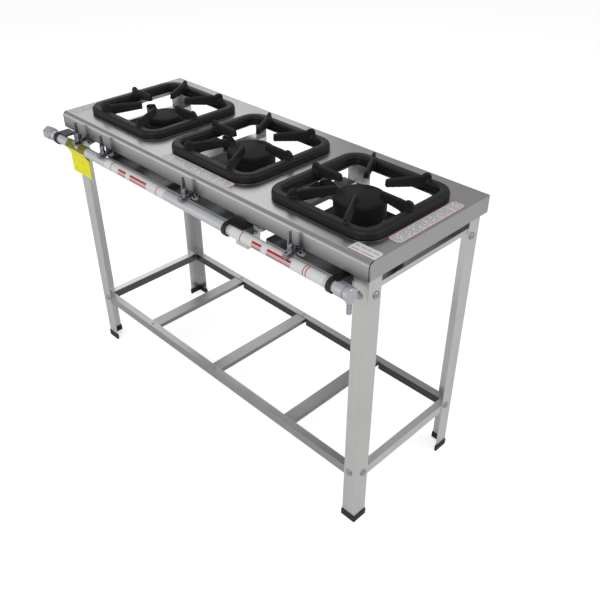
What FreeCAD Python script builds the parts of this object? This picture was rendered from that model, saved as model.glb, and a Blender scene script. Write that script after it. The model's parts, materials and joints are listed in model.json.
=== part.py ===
import FreeCAD, Part
import math
import os
import re
import Sketcher
from FreeCAD import Placement, Rotation, Vector

# Three-burner gas stove on a folded steel stand. X runs left to right, Y from the gas pipe to the back, Z up.
# Lengths are millimetres, angles are degrees.

doc = FreeCAD.newDocument("GasStove")
sheet = doc.addObject("Spreadsheet::Sheet", "Sizes")

# Driving sizes, each a cell of the sheet
sizes = [
    ("plateWide", 1150, "top plate, left to right"),
    ("plateDeep", 420, "top plate, front to back"),
    ("plateTop", 800, "height of the top plate"),
    ("plateSheet", 1.5, "thickness of the top plate"),
    ("lipDrop", 44, "height of the plate's turned-down rim"),
    ("frontBend", 13, "outer radius of the front bend"),
    ("sideBend", 5, "outer radius of the other bends"),
    ("holeSide", 240, "side of each burner opening"),
    ("holeRound", 18, "corner radius of each opening"),
    ("burnerPitch", 370, "distance between burner centres"),
    ("burnerBack", -5, "burner centres, from the plate's middle line"),
    ("legInset", 13, "leg face inside the plate's side edge"),
    ("frontInset", 17, "leg face inside the plate's front edge"),
    ("backInset", 10, "leg face inside the plate's back edge"),
    ("legFlange", 41, "width of each leg flange"),
    ("legSheet", 2, "thickness of the leg angle"),
    ("footTall", 20, "height of the foot caps"),
    ("footBase", 3, "floor of the foot caps"),
    ("footWall", 2, "wall of the foot caps"),
    ("upperClear", 5.2, "nuts of the upper leg bolts, below the sheet above them"),
    ("lowerClear", 1.2, "nuts of the lower leg bolts, below the sheet above them"),
    ("boltEdge", 25, "leg bolts, from the leg's corner"),
    ("boltRadius", 3, "shank radius of the bolts"),
    ("boltHole", 3.3, "radius of the bolt holes"),
    ("headRadius", 9.3, "radius of the leg bolts' heads"),
    ("headTall", 4.6, "height of the leg bolts' heads"),
    ("nutRadius", 5.8, "corner radius of the nuts"),
    ("nutTall", 5, "height of the nuts"),
    ("boltSpare", 1.5, "bolt end past its nut"),
    ("armBolt", 2.5, "shank radius of the burner bolts"),
    ("armNut", 4.6, "corner radius of the burner nuts"),
    ("armHead", 6, "head radius of the burner bolts"),
    ("armHole", 2.8, "radius of the burner bolts' holes"),
    ("shelfTop", 177, "height of the shelf frame"),
    ("railTall", 27, "height of the shelf rails"),
    ("lipGap", 1, "gap between a rail's inner lip and what passes it"),
    ("railFlange", 20, "top flange of the shelf rails"),
    ("railSheet", 2, "thickness of the shelf rails"),
    ("crossWide", 38, "width of the shelf cross bars"),
    ("crossTall", 13, "height of the shelf cross bars"),
    ("crossPitch", 300, "distance between shelf cross bars"),
    ("screwEdge", 10, "shelf screws, from the rail's face"),
    ("screwRadius", 2.5, "shank radius of the shelf screws"),
    ("screwHole", 2.7, "radius of the screw holes"),
    ("screwHead", 4.5, "head radius of the screws"),
    ("screwTall", 2.5, "head height of the screws and burner bolts"),
    ("barDrop", 74, "top of the burner bars, below the plate's top"),
    ("barTall", 13, "side walls of the burner bars"),
    ("barWide", 44, "width of the burner bars"),
    ("barSheet", 2, "thickness of the burner bars"),
    ("leftBar", -186, "centre of the left inner burner bar"),
    ("rightBar", 196, "centre of the right inner burner bar"),
    ("bracketDrop", 27, "height of the corner brackets"),
    ("stubShift", 6, "centre bracket's right face, left of the right inner bar's middle"),
    ("stubDrop", 137.5, "length of the centre brackets"),
    ("grateSide", 314, "outside of each grate"),
    ("grateRound", 50, "outer corner radius of each grate"),
    ("grateBar", 26.5, "width of the grate frame"),
    ("grateTall", 20, "height of the grate frame"),
    ("grateEase", 9, "rounding along the frame's top"),
    ("fingerTip", 59, "radius of the circle between finger tips"),
    ("fingerTop", 34.5, "finger tops, above the plate"),
    ("fingerLow", 15, "underside of the finger tips, above the plate"),
    ("fingerWide", 13, "finger width at its underside"),
    ("fingerCrest", 6, "finger width at its top"),
    ("crestDrop", 3, "height of the rounding along a finger's top"),
    ("crestInset", 1.2, "width of the rounding along a finger's top"),
    ("tipLong", 3, "length of a finger's rounded tip"),
    ("tipDrop", 2, "fall of a finger's top at its tip"),
    ("humpRise", 4, "hump over the frame, above the finger tops"),
    ("humpReach", 13, "half length of the hump"),
    ("humpSink", 6.5, "hump's centre, below the finger tops"),
    ("humpLead", 24, "start of the hump's foot, before its middle"),
    ("drumRadius", 62, "radius of the single burner caps"),
    ("drumDrop", 43, "foot of the burner caps, below the plate's top"),
    ("drumTall", 43, "side height of the single burner caps"),
    ("drumCone", 8, "rise of a cap's top to its middle"),
    ("drumWall", 6, "wall of the burner caps"),
    ("capEase", 3, "rounding of a cap's upper edge"),
    ("portDrop", 12, "a cap's port groove, below its side's top"),
    ("portTall", 1.6, "height of a cap's port groove"),
    ("portDeep", 1, "depth of a cap's port groove"),
    ("ringRadius", 64, "outer radius of the ring cap"),
    ("ringTall", 18, "height of the ring cap"),
    ("ringSlope", 6, "sloped shoulder of the ring cap"),
    ("innerRadius", 49, "radius of the inner cap"),
    ("innerTall", 36, "side height of the inner cap"),
    ("innerCone", 4, "rise of the inner cap's top"),
    ("ringGap", 1, "gap between ring cap and inner cap"),
    ("bowlTall", 35, "height of the burner bowls"),
    ("bowlFoot", 30, "radius of the bowls' underside"),
    ("bowlLean", 4, "lean of the bowls' upper wall"),
    ("rimStep", 2, "bowls' rim, inside the caps' sides"),
    ("bowlWall", 6, "wall of the burner bowls"),
    ("seatStep", 1, "seat of the inner cap, inside the cap's side"),
    ("seatWall", 4, "wall of the inner cap's seat"),
    ("tubeRadius", 14, "outer radius of the mixing tubes"),
    ("tubeBore", 10.5, "bore of the mixing tubes"),
    ("bellRadius", 18, "outer radius of a tube's mouth"),
    ("bellWall", 3, "wall of a tube's mouth"),
    ("bellLong", 22, "length of a tube's mouth"),
    ("mouthInset", 15, "tube mouths, behind the plate's front edge"),
    ("tubeClear", 43, "outer tube, inside the edge of the left leg's flange"),
    ("armTilt", 22, "turn of the burner arms from the plate's long side"),
    ("armPast", 6, "arm ends, past their bolts"),
    ("armTall", 10, "thickness of the burner arms"),
    ("armNeck", 20, "arm width at the bowl"),
    ("armEnd", 28, "arm width at its end"),
    ("shutterRadius", 19, "radius of the air shutters"),
    ("shutterThick", 2, "thickness of the air shutters"),
    ("shutterHole", 4, "radius of the shutter's air holes"),
    ("shutterPitch", 11, "air holes, from the shutter's middle"),
    ("lugWide", 6, "width of a shutter's lug"),
    ("lugTall", 6, "lug past the shutter's rim"),
    ("pipeOut", 35, "gas pipe axis, in front of the legs"),
    ("pipeDrop", 78, "gas pipe axis, below the plate's top"),
    ("pipeRadius", 13.45, "outer radius of the gas pipe"),
    ("pipeWall", 2.65, "wall of the gas pipe"),
    ("pipePast", 56, "pipe end past the left leg"),
    ("pipeShort", 51, "pipe end short of the right leg's face"),
    ("plugRadius", 16.5, "radius of the pipe's end cap"),
    ("plugLong", 8, "length of the end cap's round part"),
    ("plugHex", 19.5, "corner radius of the end cap's hexagon"),
    ("plugHexLong", 25, "length of the end cap's hexagon"),
    ("plugTip", 4, "length of the end cap's tip"),
    ("plugTipRadius", 14, "radius of the end cap's tip"),
    ("collarRadius", 16, "radius of the elbow's collar"),
    ("collarLong", 20, "length of the elbow's collar"),
    ("neckRadius", 13.5, "radius of the elbow's neck"),
    ("neckLong", 7, "length of the elbow's neck"),
    ("discRadius", 17.4, "radius of the elbow's end"),
    ("discLong", 12, "length of the elbow's end"),
    ("discEase", 2, "chamfer of the elbow's end"),
    ("outletBack", 8, "outlet axis, behind the elbow's face"),
    ("outletRadius", 8, "radius of the elbow's outlet"),
    ("elbowDrop", 20, "elbow outlet, below the pipe axis"),
    ("barbLong", 30, "length of the hose tail"),
    ("barbRadius", 6.2, "radius of the hose tail's ribs"),
    ("barbStem", 3.8, "radius of the hose tail between its ribs"),
    ("barbBore", 2.2, "radius of the hose tail's bore"),
    ("barbStep", 5.4, "distance between the hose tail's ribs"),
    ("barbTall", 3.6, "height of a rib"),
    ("hookWide", 12, "width of a clamp's hook"),
    ("hookThick", 4, "thickness of a clamp's hook"),
    ("hookTail", 14, "hook's tail behind the pipe axis"),
    ("clampPlate", 3, "thickness of a clamp's plate"),
    ("clampClear", 3, "clamp plates, above the heads of the leg bolts"),
    ("screwLift", 8.5, "clamp screws, above the pipe axis"),
    ("leftHook", 24, "left hook, outside the leg's face"),
    ("leftStrap", 14, "left clamp's arm, past the leg's face"),
    ("midHook", 24.5, "centre hook, inside the bracket's face"),
    ("midWing", 25, "centre clamp's plate, past the bracket's face"),
    ("rightHook", 67, "right hook, inside the leg's face"),
    ("rightScrewIn", 7, "right clamp's screw, from the edge of the leg's flange"),
    ("screwMargin", 6.5, "clamp plates, past their screws"),
    ("lipClear", 7, "right clamp's plate, below the top plate's rim"),
    ("middleValve", 5, "valve of the middle burner, right of its centre"),
    ("valveStep", 126, "distance between the left burner's two valves"),
    ("valveRadius", 7, "radius of a valve's bonnet"),
    ("valveNeck", 5.5, "radius of a valve's neck"),
    ("valveCrown", 13, "top of a valve's bonnet, above its barrel"),
    ("barrelRadius", 8, "radius of a valve's barrel"),
    ("barrelFront", 16, "barrel's front end, from the spindle"),
    ("barrelBack", 8, "barrel's back end, from the spindle"),
    ("jetRadius", 5.5, "radius of a valve's outlet"),
    ("jetNut", 8, "corner radius of the outlet's nut"),
    ("jetNutLong", 7, "length of the outlet's nut"),
    ("jetLong", 24, "length of a valve's outlet"),
    ("jetSleeve", 4, "radius of the jet's sleeve"),
    ("jetTip", 2.8, "radius of the jet"),
    ("jetInto", 5, "jet inside its tube mouth"),
    ("spindle", 3.5, "radius of a valve's spindle"),
    ("hubRadius", 6, "radius of a handle's hub"),
    ("hubTall", 9, "height of a handle's hub"),
    ("paddleFoot", 7, "half width of a handle's lever at its foot"),
    ("paddleCrest", 3.5, "half width of a handle's lever at its top"),
    ("paddleThick", 4, "thickness of a handle's lever"),
    ("paddleTall", 43, "top of the handles, above the valve bodies"),
    ("paddleRound", 2.5, "corner radius of a lever's top"),
    ("trayFront", 35, "tray edges, behind the plate's front edge"),
    ("trayDeep", 308, "trays, front to back"),
    ("trayGap", 14, "tray rims, below the burner bars"),
    ("trayTall", 13, "height of the trays"),
    ("traySheet", 1, "thickness of the trays"),
    ("trayRound", 8, "corner radius of the trays"),
    ("longPast", 60, "long tray's left end, past the left burner's centre"),
    ("longClear", 9, "long tray's right end, short of the front centre bracket"),
    ("shortClear", 2, "short tray's left end, past the rear centre bracket"),
    ("shortEnd", 4, "short tray's right end, short of the corner brackets"),
    ("bearerWide", 20, "width of the tray bearers"),
    ("bearerThick", 2.5, "thickness of the tray bearers"),
    ("bearerSpan", 210, "distance between the tray bearers"),
    ("bearerShift", 5, "bearers' middle, behind the plate's middle"),
    ("bearerEnd", 30, "bearer ends, inside the legs' faces"),
    ("tagBefore", 52, "tag's left edge, left of the outer left valve"),
    ("tagWide", 95, "width of the tag"),
    ("tagSheet", 0.8, "thickness of the tag"),
    ("tagDrop", 82, "tag's lower edge, below the pipe axis"),
    ("tagSlot", 1, "tag's slot, wider than the valve on each side"),
    ("slotFoot", 11.5, "lower edge of the tag's slot, above the pipe axis"),
    ("runGap", 0.3, "gap between pieces that move and their seats"),
    ("wrapGap", 0.3, "gap between the pipe and what wraps round it"),
]

# Places worked out from the driving sizes
places = [
    ("halfWide", "plateWide / 2"),
    ("halfDeep", "plateDeep / 2"),
    ("underPlate", "plateTop - plateSheet"),
    ("legX", "halfWide - legInset"),
    ("legFront", "frontInset - halfDeep"),
    ("legBack", "halfDeep - backInset"),
    ("inX", "legX - legSheet"),
    ("inFront", "legFront + legSheet"),
    ("inBack", "legBack - legSheet"),
    ("railUnder", "shelfTop - railSheet"),
    ("barTop", "plateTop - barDrop"),
    ("barUnder", "barTop - barTall"),
    ("sideBar", "inX - barWide / 2"),
    ("upperBolt", "barUnder - barSheet - nutRadius - upperClear"),
    ("lowerBolt", "railUnder - railSheet - nutRadius - lowerClear"),
    ("stubSide", "rightBar - stubShift"),
    ("drumFoot", "plateTop - drumDrop"),
    ("bowlBottom", "drumFoot - bowlTall"),
    ("bowlRim", "drumRadius - rimStep"),
    ("tubeLine", "drumFoot - tubeRadius"),
    ("outerTube", "legFlange + tubeClear - legX"),
    ("sideTube", "-(burnerPitch + outerTube)"),
    ("pipeLine", "plateTop - pipeDrop"),
    ("pipeY", "legFront - pipeOut"),
    ("pipeLeft", "-legX - pipePast"),
    ("pipeRight", "legX - pipeShort"),
    ("pipeTop", "pipeLine + pipeRadius"),
    ("hookInner", "pipeRadius + wrapGap"),
    ("hookOuter", "hookInner + hookThick"),
    ("clampFoot", "upperBolt + headRadius + clampClear"),
    ("clampScrew", "pipeLine + screwLift"),
    ("rightScrew", "legX - legFlange + rightScrewIn"),
    ("rightHigh", "plateTop - lipDrop - lipClear"),
    ("rightLine", "rightHigh - screwMargin"),
    ("outerValve", "outerTube"),
    ("innerValve", "outerValve + valveStep"),
    ("rightValve", "burnerPitch"),
    ("valveRise", "tubeLine - pipeLine"),
    ("valveTall", "valveRise + valveCrown"),
    ("outletX", "pipeRight + collarLong + neckLong + discLong - outletBack"),
    ("outletLine", "pipeLine - elbowDrop"),
    ("mouthY", "mouthInset - halfDeep"),
    ("trayY", "trayFront - halfDeep"),
    ("trayTop", "barUnder - trayGap"),
    ("trayFloor", "trayTop - trayTall"),
    ("bearerTop", "trayFloor - runGap"),
    ("longLeft", "-(burnerPitch + longPast)"),
    ("longRight", "stubSide - legFlange - longClear"),
    ("shortLeft", "stubSide - legSheet + legFlange + shortClear"),
    ("shortRight", "inX - (legFlange - legSheet) - shortEnd"),
    ("plugEnd", "pipeLeft - plugLong"),
    ("hexEnd", "plugEnd - plugHexLong"),
    ("leftEnd", "hexEnd - plugTip"),
    ("frontEnd", "pipeY - hookOuter"),
    ("originX", "(halfWide + leftEnd) / 2"),
    ("originY", "(halfDeep + frontEnd) / 2"),
]

for row, (alias, amount, note) in enumerate(sizes, 1):
    sheet.set(f"A{row}", note)
    sheet.set(f"B{row}", str(amount))
    sheet.setAlias(f"B{row}", alias)
for row, (alias, formula) in enumerate(places, 1):
    sheet.set(f"D{row}", alias)
    sheet.set(f"E{row}", "=" + formula)
    sheet.setAlias(f"E{row}", alias)
doc.recompute()

names = {alias for alias, _, _ in sizes} | {alias for alias, _ in places}
subparts = []


def cells(text):
    return re.sub(r"[A-Za-z]\w*", lambda word: "Sizes." + word[0] if word[0] in names else word[0], str(text))


def number(text):
    return float(sheet.evalExpression(cells(text)))


def bind(item, field, text):
    item.setExpression(field, cells(text))


# Building blocks

turns = {"x": Rotation(Vector(0, 1, 0), 90), "y": Rotation(Vector(1, 0, 0), -90), "z": Rotation()}


def seat(item, axis, low, at):
    item.Placement = Placement(Vector(), turns[axis])
    where = dict(zip([letter for letter in "xyz" if letter != axis], at))
    where[axis] = low
    for letter in "xyz":
        bind(item, f"Placement.Base.{letter}", where[letter])


def rod(axis, radius, low, high, at):
    item = doc.addObject("Part::Cylinder", "Rod")
    bind(item, "Radius", radius)
    bind(item, "Height", f"({high}) - ({low})")
    seat(item, axis, low, at)
    return item


def cone(axis, first, last, low, high, at):
    item = doc.addObject("Part::Cone", "Cone")
    bind(item, "Radius1", first)
    bind(item, "Radius2", last)
    bind(item, "Height", f"({high}) - ({low})")
    seat(item, axis, low, at)
    return item


def hexagon(axis, radius, low, high, at):
    item = doc.addObject("Part::Prism", "Hexagon")
    item.Polygon = 6
    bind(item, "Circumradius", radius)
    bind(item, "Height", f"({high}) - ({low})")
    seat(item, axis, low, at)
    return item


def ball(radius, at):
    item = doc.addObject("Part::Sphere", "Ball")
    bind(item, "Radius", radius)
    for letter, text in zip("xyz", at):
        bind(item, f"Placement.Base.{letter}", text)
    return item


def box(xs, ys, zs):
    item = doc.addObject("Part::Box", "Box")
    for side, letter, (low, high) in zip(("Length", "Width", "Height"), "xyz", (xs, ys, zs)):
        bind(item, side, f"({high}) - ({low})")
        bind(item, f"Placement.Base.{letter}", low)
    return item


def fuse(*items):
    item = doc.addObject("Part::MultiFuse", "Fuse")
    item.Shapes = list(items)
    item.Refine = True
    return item


def cut(base, *tools):
    item = doc.addObject("Part::Cut", "Cut")
    item.Base = base
    item.Tool = tools[0] if len(tools) == 1 else fuse(*tools)
    item.Refine = True
    return item


def together(items):
    item = doc.addObject("Part::Compound", "Group")
    item.Links = items
    return item


def draw(body, plane, level, outline, circles=()):
    sketch = body.newObject("Sketcher::SketchObject", "Outline")
    support = next(item for item in body.Origin.OriginFeatures if item.Role == plane + "_Plane")
    sketch.AttachmentSupport = [(support, "")]
    sketch.MapMode = "FlatFace"
    bind(sketch, "AttachmentOffset.Base.z", level)
    corners = [Vector(number(first), number(second), 0) for first, second in outline]
    for start, end in zip(corners, corners[1:] + corners[:1]):
        sketch.addGeometry(Part.LineSegment(start, end), False)
    for side, corner in enumerate(outline):
        sketch.addConstraint(Sketcher.Constraint("Coincident", side, 2, (side + 1) % len(outline), 1))
        for kind, text in zip(("DistanceX", "DistanceY"), corner):
            index = sketch.addConstraint(Sketcher.Constraint(kind, side, 1, number(text)))
            bind(sketch, f"Constraints[{index}]", text)
    for first, second, radius in circles:
        middle = Vector(number(first), number(second), 0)
        ring = sketch.addGeometry(Part.Circle(middle, Vector(0, 0, 1), number(radius)), False)
        for kind, text in (("DistanceX", first), ("DistanceY", second)):
            index = sketch.addConstraint(Sketcher.Constraint(kind, ring, 3, number(text)))
            bind(sketch, f"Constraints[{index}]", text)
        index = sketch.addConstraint(Sketcher.Constraint("Radius", ring, number(radius)))
        bind(sketch, f"Constraints[{index}]", radius)
    return sketch


# A prism of one outline. An outline in XZ runs along Y, one in YZ along X and one in XY along Z.
def prism(plane, outline, low, high, circles=()):
    body = doc.addObject("PartDesign::Body", "Body")
    level = f"-({high})" if plane == "XZ" else low
    sketch = draw(body, plane, level, outline, circles)
    pad = body.newObject("PartDesign::Pad", "Pad")
    pad.Profile = sketch
    bind(pad, "Length", f"({high}) - ({low})")
    sketch.Visibility = False
    return body


def turned(outline):
    body = doc.addObject("PartDesign::Body", "Body")
    sketch = draw(body, "XZ", "0", outline)
    spin = body.newObject("PartDesign::Revolution", "Revolution")
    spin.Profile = sketch
    spin.ReferenceAxis = (sketch, ["V_Axis"])
    spin.Angle = 360
    return body


def edges(shape, wanted):
    return [f"Edge{n}" for n, edge in enumerate(shape.Edges, 1) if wanted(edge)]


def ease(body, radius, wanted):
    doc.recompute()
    base = body.Tip
    fillet = body.newObject("PartDesign::Fillet", "Fillet")
    fillet.Base = (base, edges(base.Shape, wanted))
    bind(fillet, "Radius", radius)


def hollow(body, wall, openSide):
    doc.recompute()
    base = body.Tip
    faces = [f"Face{n}" for n, face in enumerate(base.Shape.Faces, 1) if openSide(face)]
    shell = body.newObject("PartDesign::Thickness", "Thickness")
    shell.Base = (base, faces)
    shell.Reversed = True
    shell.Join = 0
    bind(shell, "Value", wall)


def upright(edge):
    return abs(edge.tangentAt(edge.FirstParameter).z) > 0.99


def rectangle(xs, ys):
    return [(xs[0], ys[0]), (xs[1], ys[0]), (xs[1], ys[1]), (xs[0], ys[1])]


# Outline of an angle. The corner is its outer one, and the signs say which way its flanges run.
def angle(corner, signs, flanges, thick, grow="0"):
    (first, second), (sx, sy) = corner, signs
    outer = (f"{first} - {sx} * {grow}", f"{second} - {sy} * {grow}")
    ends = (f"{first} + {sx} * ({flanges[0]} + {grow})", f"{second} + {sy} * ({flanges[1]} + {grow})")
    inner = (f"{first} + {sx} * ({thick} + {grow})", f"{second} + {sy} * ({thick} + {grow})")
    return [outer, (ends[0], outer[1]), (ends[0], inner[1]), inner, (inner[0], ends[1]), (outer[0], ends[1])]


# Outline of a channel that is open downwards
def channel(middle, wide, thick, low, high):
    left, right = f"{middle} - {wide} / 2", f"{middle} + {wide} / 2"
    roof = f"{high} - {thick}"
    return [
        (left, low), (left, high), (right, high), (right, low),
        (f"{right} - {thick}", low), (f"{right} - {thick}", roof),
        (f"{left} + {thick}", roof), (f"{left} + {thick}", low),
    ]


def keep(name, item, at=("0", "0", "0")):
    item.Label = name
    for letter, text, origin in zip("xyz", at, ("originX", "originY", "0")):
        bind(item, f"Placement.Base.{letter}", f"{text} - {origin}")
    subparts.append(item)


# Fasteners

# A bolt that enters a face at one level and runs the way of its sign
def bolt(axis, sign, face, grip, at, radius="boltRadius", head="headRadius", tall="headTall",
         past="nutTall + boltSpare"):
    crown = f"{face} - {sign} * {tall}"
    brim = f"{face} - {sign} * {tall} * 0.4"
    end = f"{face} + {sign} * ({grip} + {past})"
    if sign > 0:
        parts = [cone(axis, f"{head} * 0.6", head, crown, brim, at), rod(axis, head, brim, face, at)]
        parts.append(rod(axis, radius, face, end, at))
    else:
        parts = [cone(axis, head, f"{head} * 0.6", brim, crown, at), rod(axis, head, face, brim, at)]
        parts.append(rod(axis, radius, end, face, at))
    return fuse(*parts)


def nut(axis, sign, face, grip, at, bore="boltRadius", radius="nutRadius"):
    near, far = f"{face} + {sign} * {grip}", f"{face} + {sign} * ({grip} + nutTall)"
    low, high = (near, far) if sign > 0 else (far, near)
    return cut(hexagon(axis, radius, low, high, at), rod(axis, f"{bore} + 0.05", low, high, at))


# Top plate

def topPlate():
    outline = rectangle(("-halfWide", "halfWide"), ("-halfDeep", "halfDeep"))
    body = prism("XY", outline, "plateTop - lipDrop", "plateTop")
    high, front, deep = number("plateTop"), number("-halfDeep"), number("halfDeep")

    def frontTop(edge):
        middle = edge.CenterOfMass
        return abs(middle.z - high) < 0.01 and abs(middle.y - front) < 0.01

    def otherBend(edge):
        middle = edge.CenterOfMass
        corner = upright(edge) and middle.y > deep - 0.01
        return corner or abs(middle.z - high) < 0.01 and abs(middle.y - deep) < 0.01

    ease(body, "frontBend", frontTop)
    ease(body, "sideBend", otherBend)
    hollow(body, "plateSheet", lambda face: face.CenterOfMass.z < number("plateTop - lipDrop") + 0.01)
    openings = []
    for step in (-1, 0, 1):
        middle = f"{step} * burnerPitch"
        sides = (f"{middle} - holeSide / 2", f"{middle} + holeSide / 2")
        depth = ("burnerBack - holeSide / 2", "burnerBack + holeSide / 2")
        tool = prism("XY", rectangle(sides, depth), "plateTop - lipDrop / 2", "plateTop + plateSheet")
        ease(tool, "holeRound", upright)
        openings.append(tool)
    keep("top_plate", cut(body, *openings))


# Legs and their feet

legCorners = {
    "front_left": (-1, -1), "front_right": (1, -1), "rear_left": (-1, 1), "rear_right": (1, 1),
}


def legFaces(across, along):
    return f"{across} * legX", "legFront" if along < 0 else "legBack"


def legs():
    caps = []
    for name, (across, along) in legCorners.items():
        corner = legFaces(across, along)
        signs = (-across, -along)
        flanges = ("legFlange", "legFlange")
        bar = prism("XY", angle(corner, signs, flanges, "legSheet"), "footBase", "underPlate")
        holes = []
        for height in ("upperBolt", "lowerBolt"):
            low, high = f"{corner[1]} - legSheet * 2", f"{corner[1]} + legSheet * 2"
            holes.append(rod("y", "boltHole", low, high, (f"{corner[0]} + {signs[0]} * boltEdge", height)))
            low, high = f"{corner[0]} - legSheet * 2", f"{corner[0]} + legSheet * 2"
            holes.append(rod("x", "boltHole", low, high, (f"{corner[1]} + {signs[1]} * boltEdge", height)))
        if name == "front_left":
            at = ("-(legX - legFlange / 2)", "clampScrew")
            holes.append(rod("y", "screwHole", "legFront - legSheet * 2", "legFront + legSheet * 2", at))
        if name == "front_right":
            at = ("rightScrew", "rightLine")
            holes.append(rod("y", "screwHole", "legFront - legSheet * 2", "legFront + legSheet * 2", at))
        keep(name + "_leg", cut(bar, *holes))
        shell = prism("XY", angle(corner, signs, flanges, "legSheet", "footWall"), "0", "footTall")
        slot = prism("XY", angle(corner, signs, flanges, "legSheet"), "footBase", "footTall + footBase")
        caps.append(cut(shell, slot))
    keep("foot_caps", together(caps))


# Shelf frame

def shelf():
    flanges = ("railFlange", "railTall")
    starts = ("railFlange - inX", "crossWide / 2 - crossPitch", "crossWide / 2", "crossPitch + crossWide / 2")
    stops = ("-crossPitch - crossWide / 2", "-crossWide / 2", "crossPitch - crossWide / 2", "inX - railFlange")
    for name, face, sign in (("front", "inFront", 1), ("rear", "inBack", -1)):
        rail = prism("YZ", angle((face, "shelfTop"), (sign, -1), flanges, "railSheet"), "-inX", "inX")
        edge, inside = f"{face} + {sign} * railFlange", f"{face} + {sign} * (railFlange - railSheet)"
        for start, stop in zip(starts, stops):
            depth = (inside, edge) if sign > 0 else (edge, inside)
            lip = box((f"{start} + lipGap", f"{stop} - lipGap"), depth, ("shelfTop - railTall", "shelfTop"))
            rail = fuse(rail, lip)
        holes = []
        for across in (-1, 1):
            at = (f"{across} * (legX - boltEdge)", "lowerBolt")
            holes.append(rod("y", "boltHole", f"{face} - railSheet * 2", f"{face} + railSheet * 2", at))
        for step in (-1, 0, 1):
            at = (f"{step} * crossPitch", f"{face} + {sign} * screwEdge")
            holes.append(rod("z", "screwHole", "shelfTop - railSheet * 2", "shelfTop + railSheet", at))
        keep(f"{name}_shelf_rail", cut(rail, *holes))
    for name, across in (("left", -1), ("right", 1)):
        corner = (f"{across} * inX", "railUnder")
        outline = angle(corner, (-across, -1), flanges, "railSheet")
        rail = prism("XZ", outline, "inFront + railSheet", "inBack - railSheet")
        low, high = f"{corner[0]} - railSheet * 2", f"{corner[0]} + railSheet * 2"
        holes = [
            rod("x", "boltHole", low, high, ("legFront + boltEdge", "lowerBolt")),
            rod("x", "boltHole", low, high, ("legBack - boltEdge", "lowerBolt")),
        ]
        xs = (f"{across} * (inX - railFlange)", f"{across} * (inX - railFlange + railSheet)")[::across]
        ys = ("inFront + railFlange + lipGap", "inBack - railFlange - lipGap")
        lip = box(xs, ys, ("railUnder - railTall", "railUnder"))
        keep(f"{name}_shelf_rail", cut(fuse(rail, lip), *holes))
    screws = []
    for name, step in (("left", -1), ("middle", 0), ("right", 1)):
        middle = f"{step} * crossPitch"
        outline = channel(middle, "crossWide", "railSheet", "railUnder - crossTall", "railUnder")
        bar = prism("XZ", outline, "inFront + railSheet", "inBack - railSheet")
        holes = []
        for place in ("inFront + screwEdge", "inBack - screwEdge"):
            holes.append(rod("z", "screwHole", "railUnder - railSheet * 2", "shelfTop", (middle, place)))
            head = ("screwRadius", "screwHead", "screwTall")
            screws.append(bolt("z", -1, "shelfTop", "railSheet * 2", (middle, place), *head))
        keep(f"{name}_shelf_bar", cut(bar, *holes))
    keep("shelf_screws", together(screws))


# Burner bars and what carries them

# Each burner's centre, and the bars that its left and right arm reach
burnerSeats = {
    "left": ("-burnerPitch", ("-sideBar", "leftBar")),
    "middle": ("0", ("leftBar", "rightBar")),
    "right": ("burnerPitch", ("rightBar", "sideBar")),
}


def armEnd(centre, bar):
    return bar, f"burnerBack - ({bar} - ({centre})) * tan(armTilt * 1deg)"


def burnerBars():
    ends = {
        "left_side_bar": ("-sideBar", "inFront", "inBack"),
        "left_inner_bar": ("leftBar", "legFront + legFlange", "inBack - barSheet"),
        "right_inner_bar": ("rightBar", "legFront + legFlange", "legBack - legFlange"),
        "right_side_bar": ("sideBar", "inFront", "inBack"),
    }
    for name, (middle, front, back) in ends.items():
        bar = prism("XZ", channel(middle, "barWide", "barSheet", "barUnder", "barTop"), front, back)
        holes = []
        for centre, bars in burnerSeats.values():
            if middle in bars:
                at = armEnd(centre, middle)
                holes.append(rod("z", "armHole", "barTop - barSheet * 2", "barTop + barSheet", at))
        keep(name, cut(bar, *holes))
    brackets = []
    for across, along in legCorners.values():
        side, face = f"{across} * inX", "inFront" if along < 0 else "inBack"
        flanges = ("legFlange - legSheet", "legFlange - legSheet")
        outline = angle((side, face), (-across, -along), flanges, "barSheet")
        plates = prism("XY", outline, "barUnder - bracketDrop", "barUnder")
        far = (f"{side} - {across} * (legFlange - legSheet)", f"{face} - {along} * (legFlange - legSheet)")
        xs = (side, far[0]) if across < 0 else (far[0], side)
        ys = (face, far[1]) if along < 0 else (far[1], face)
        roof = box(xs, ys, ("barUnder - barSheet", "barUnder"))
        low, high = f"{face} - barSheet * 2", f"{face} + barSheet * 2"
        first = rod("y", "boltHole", low, high, (f"{across} * (legX - boltEdge)", "upperBolt"))
        low, high = f"{side} - barSheet * 2", f"{side} + barSheet * 2"
        edge = "legFront + boltEdge" if along < 0 else "legBack - boltEdge"
        second = rod("x", "boltHole", low, high, (edge, "upperBolt"))
        brackets.append(cut(fuse(plates, roof), first, second))
    keep("corner_brackets", together(brackets))


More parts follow.
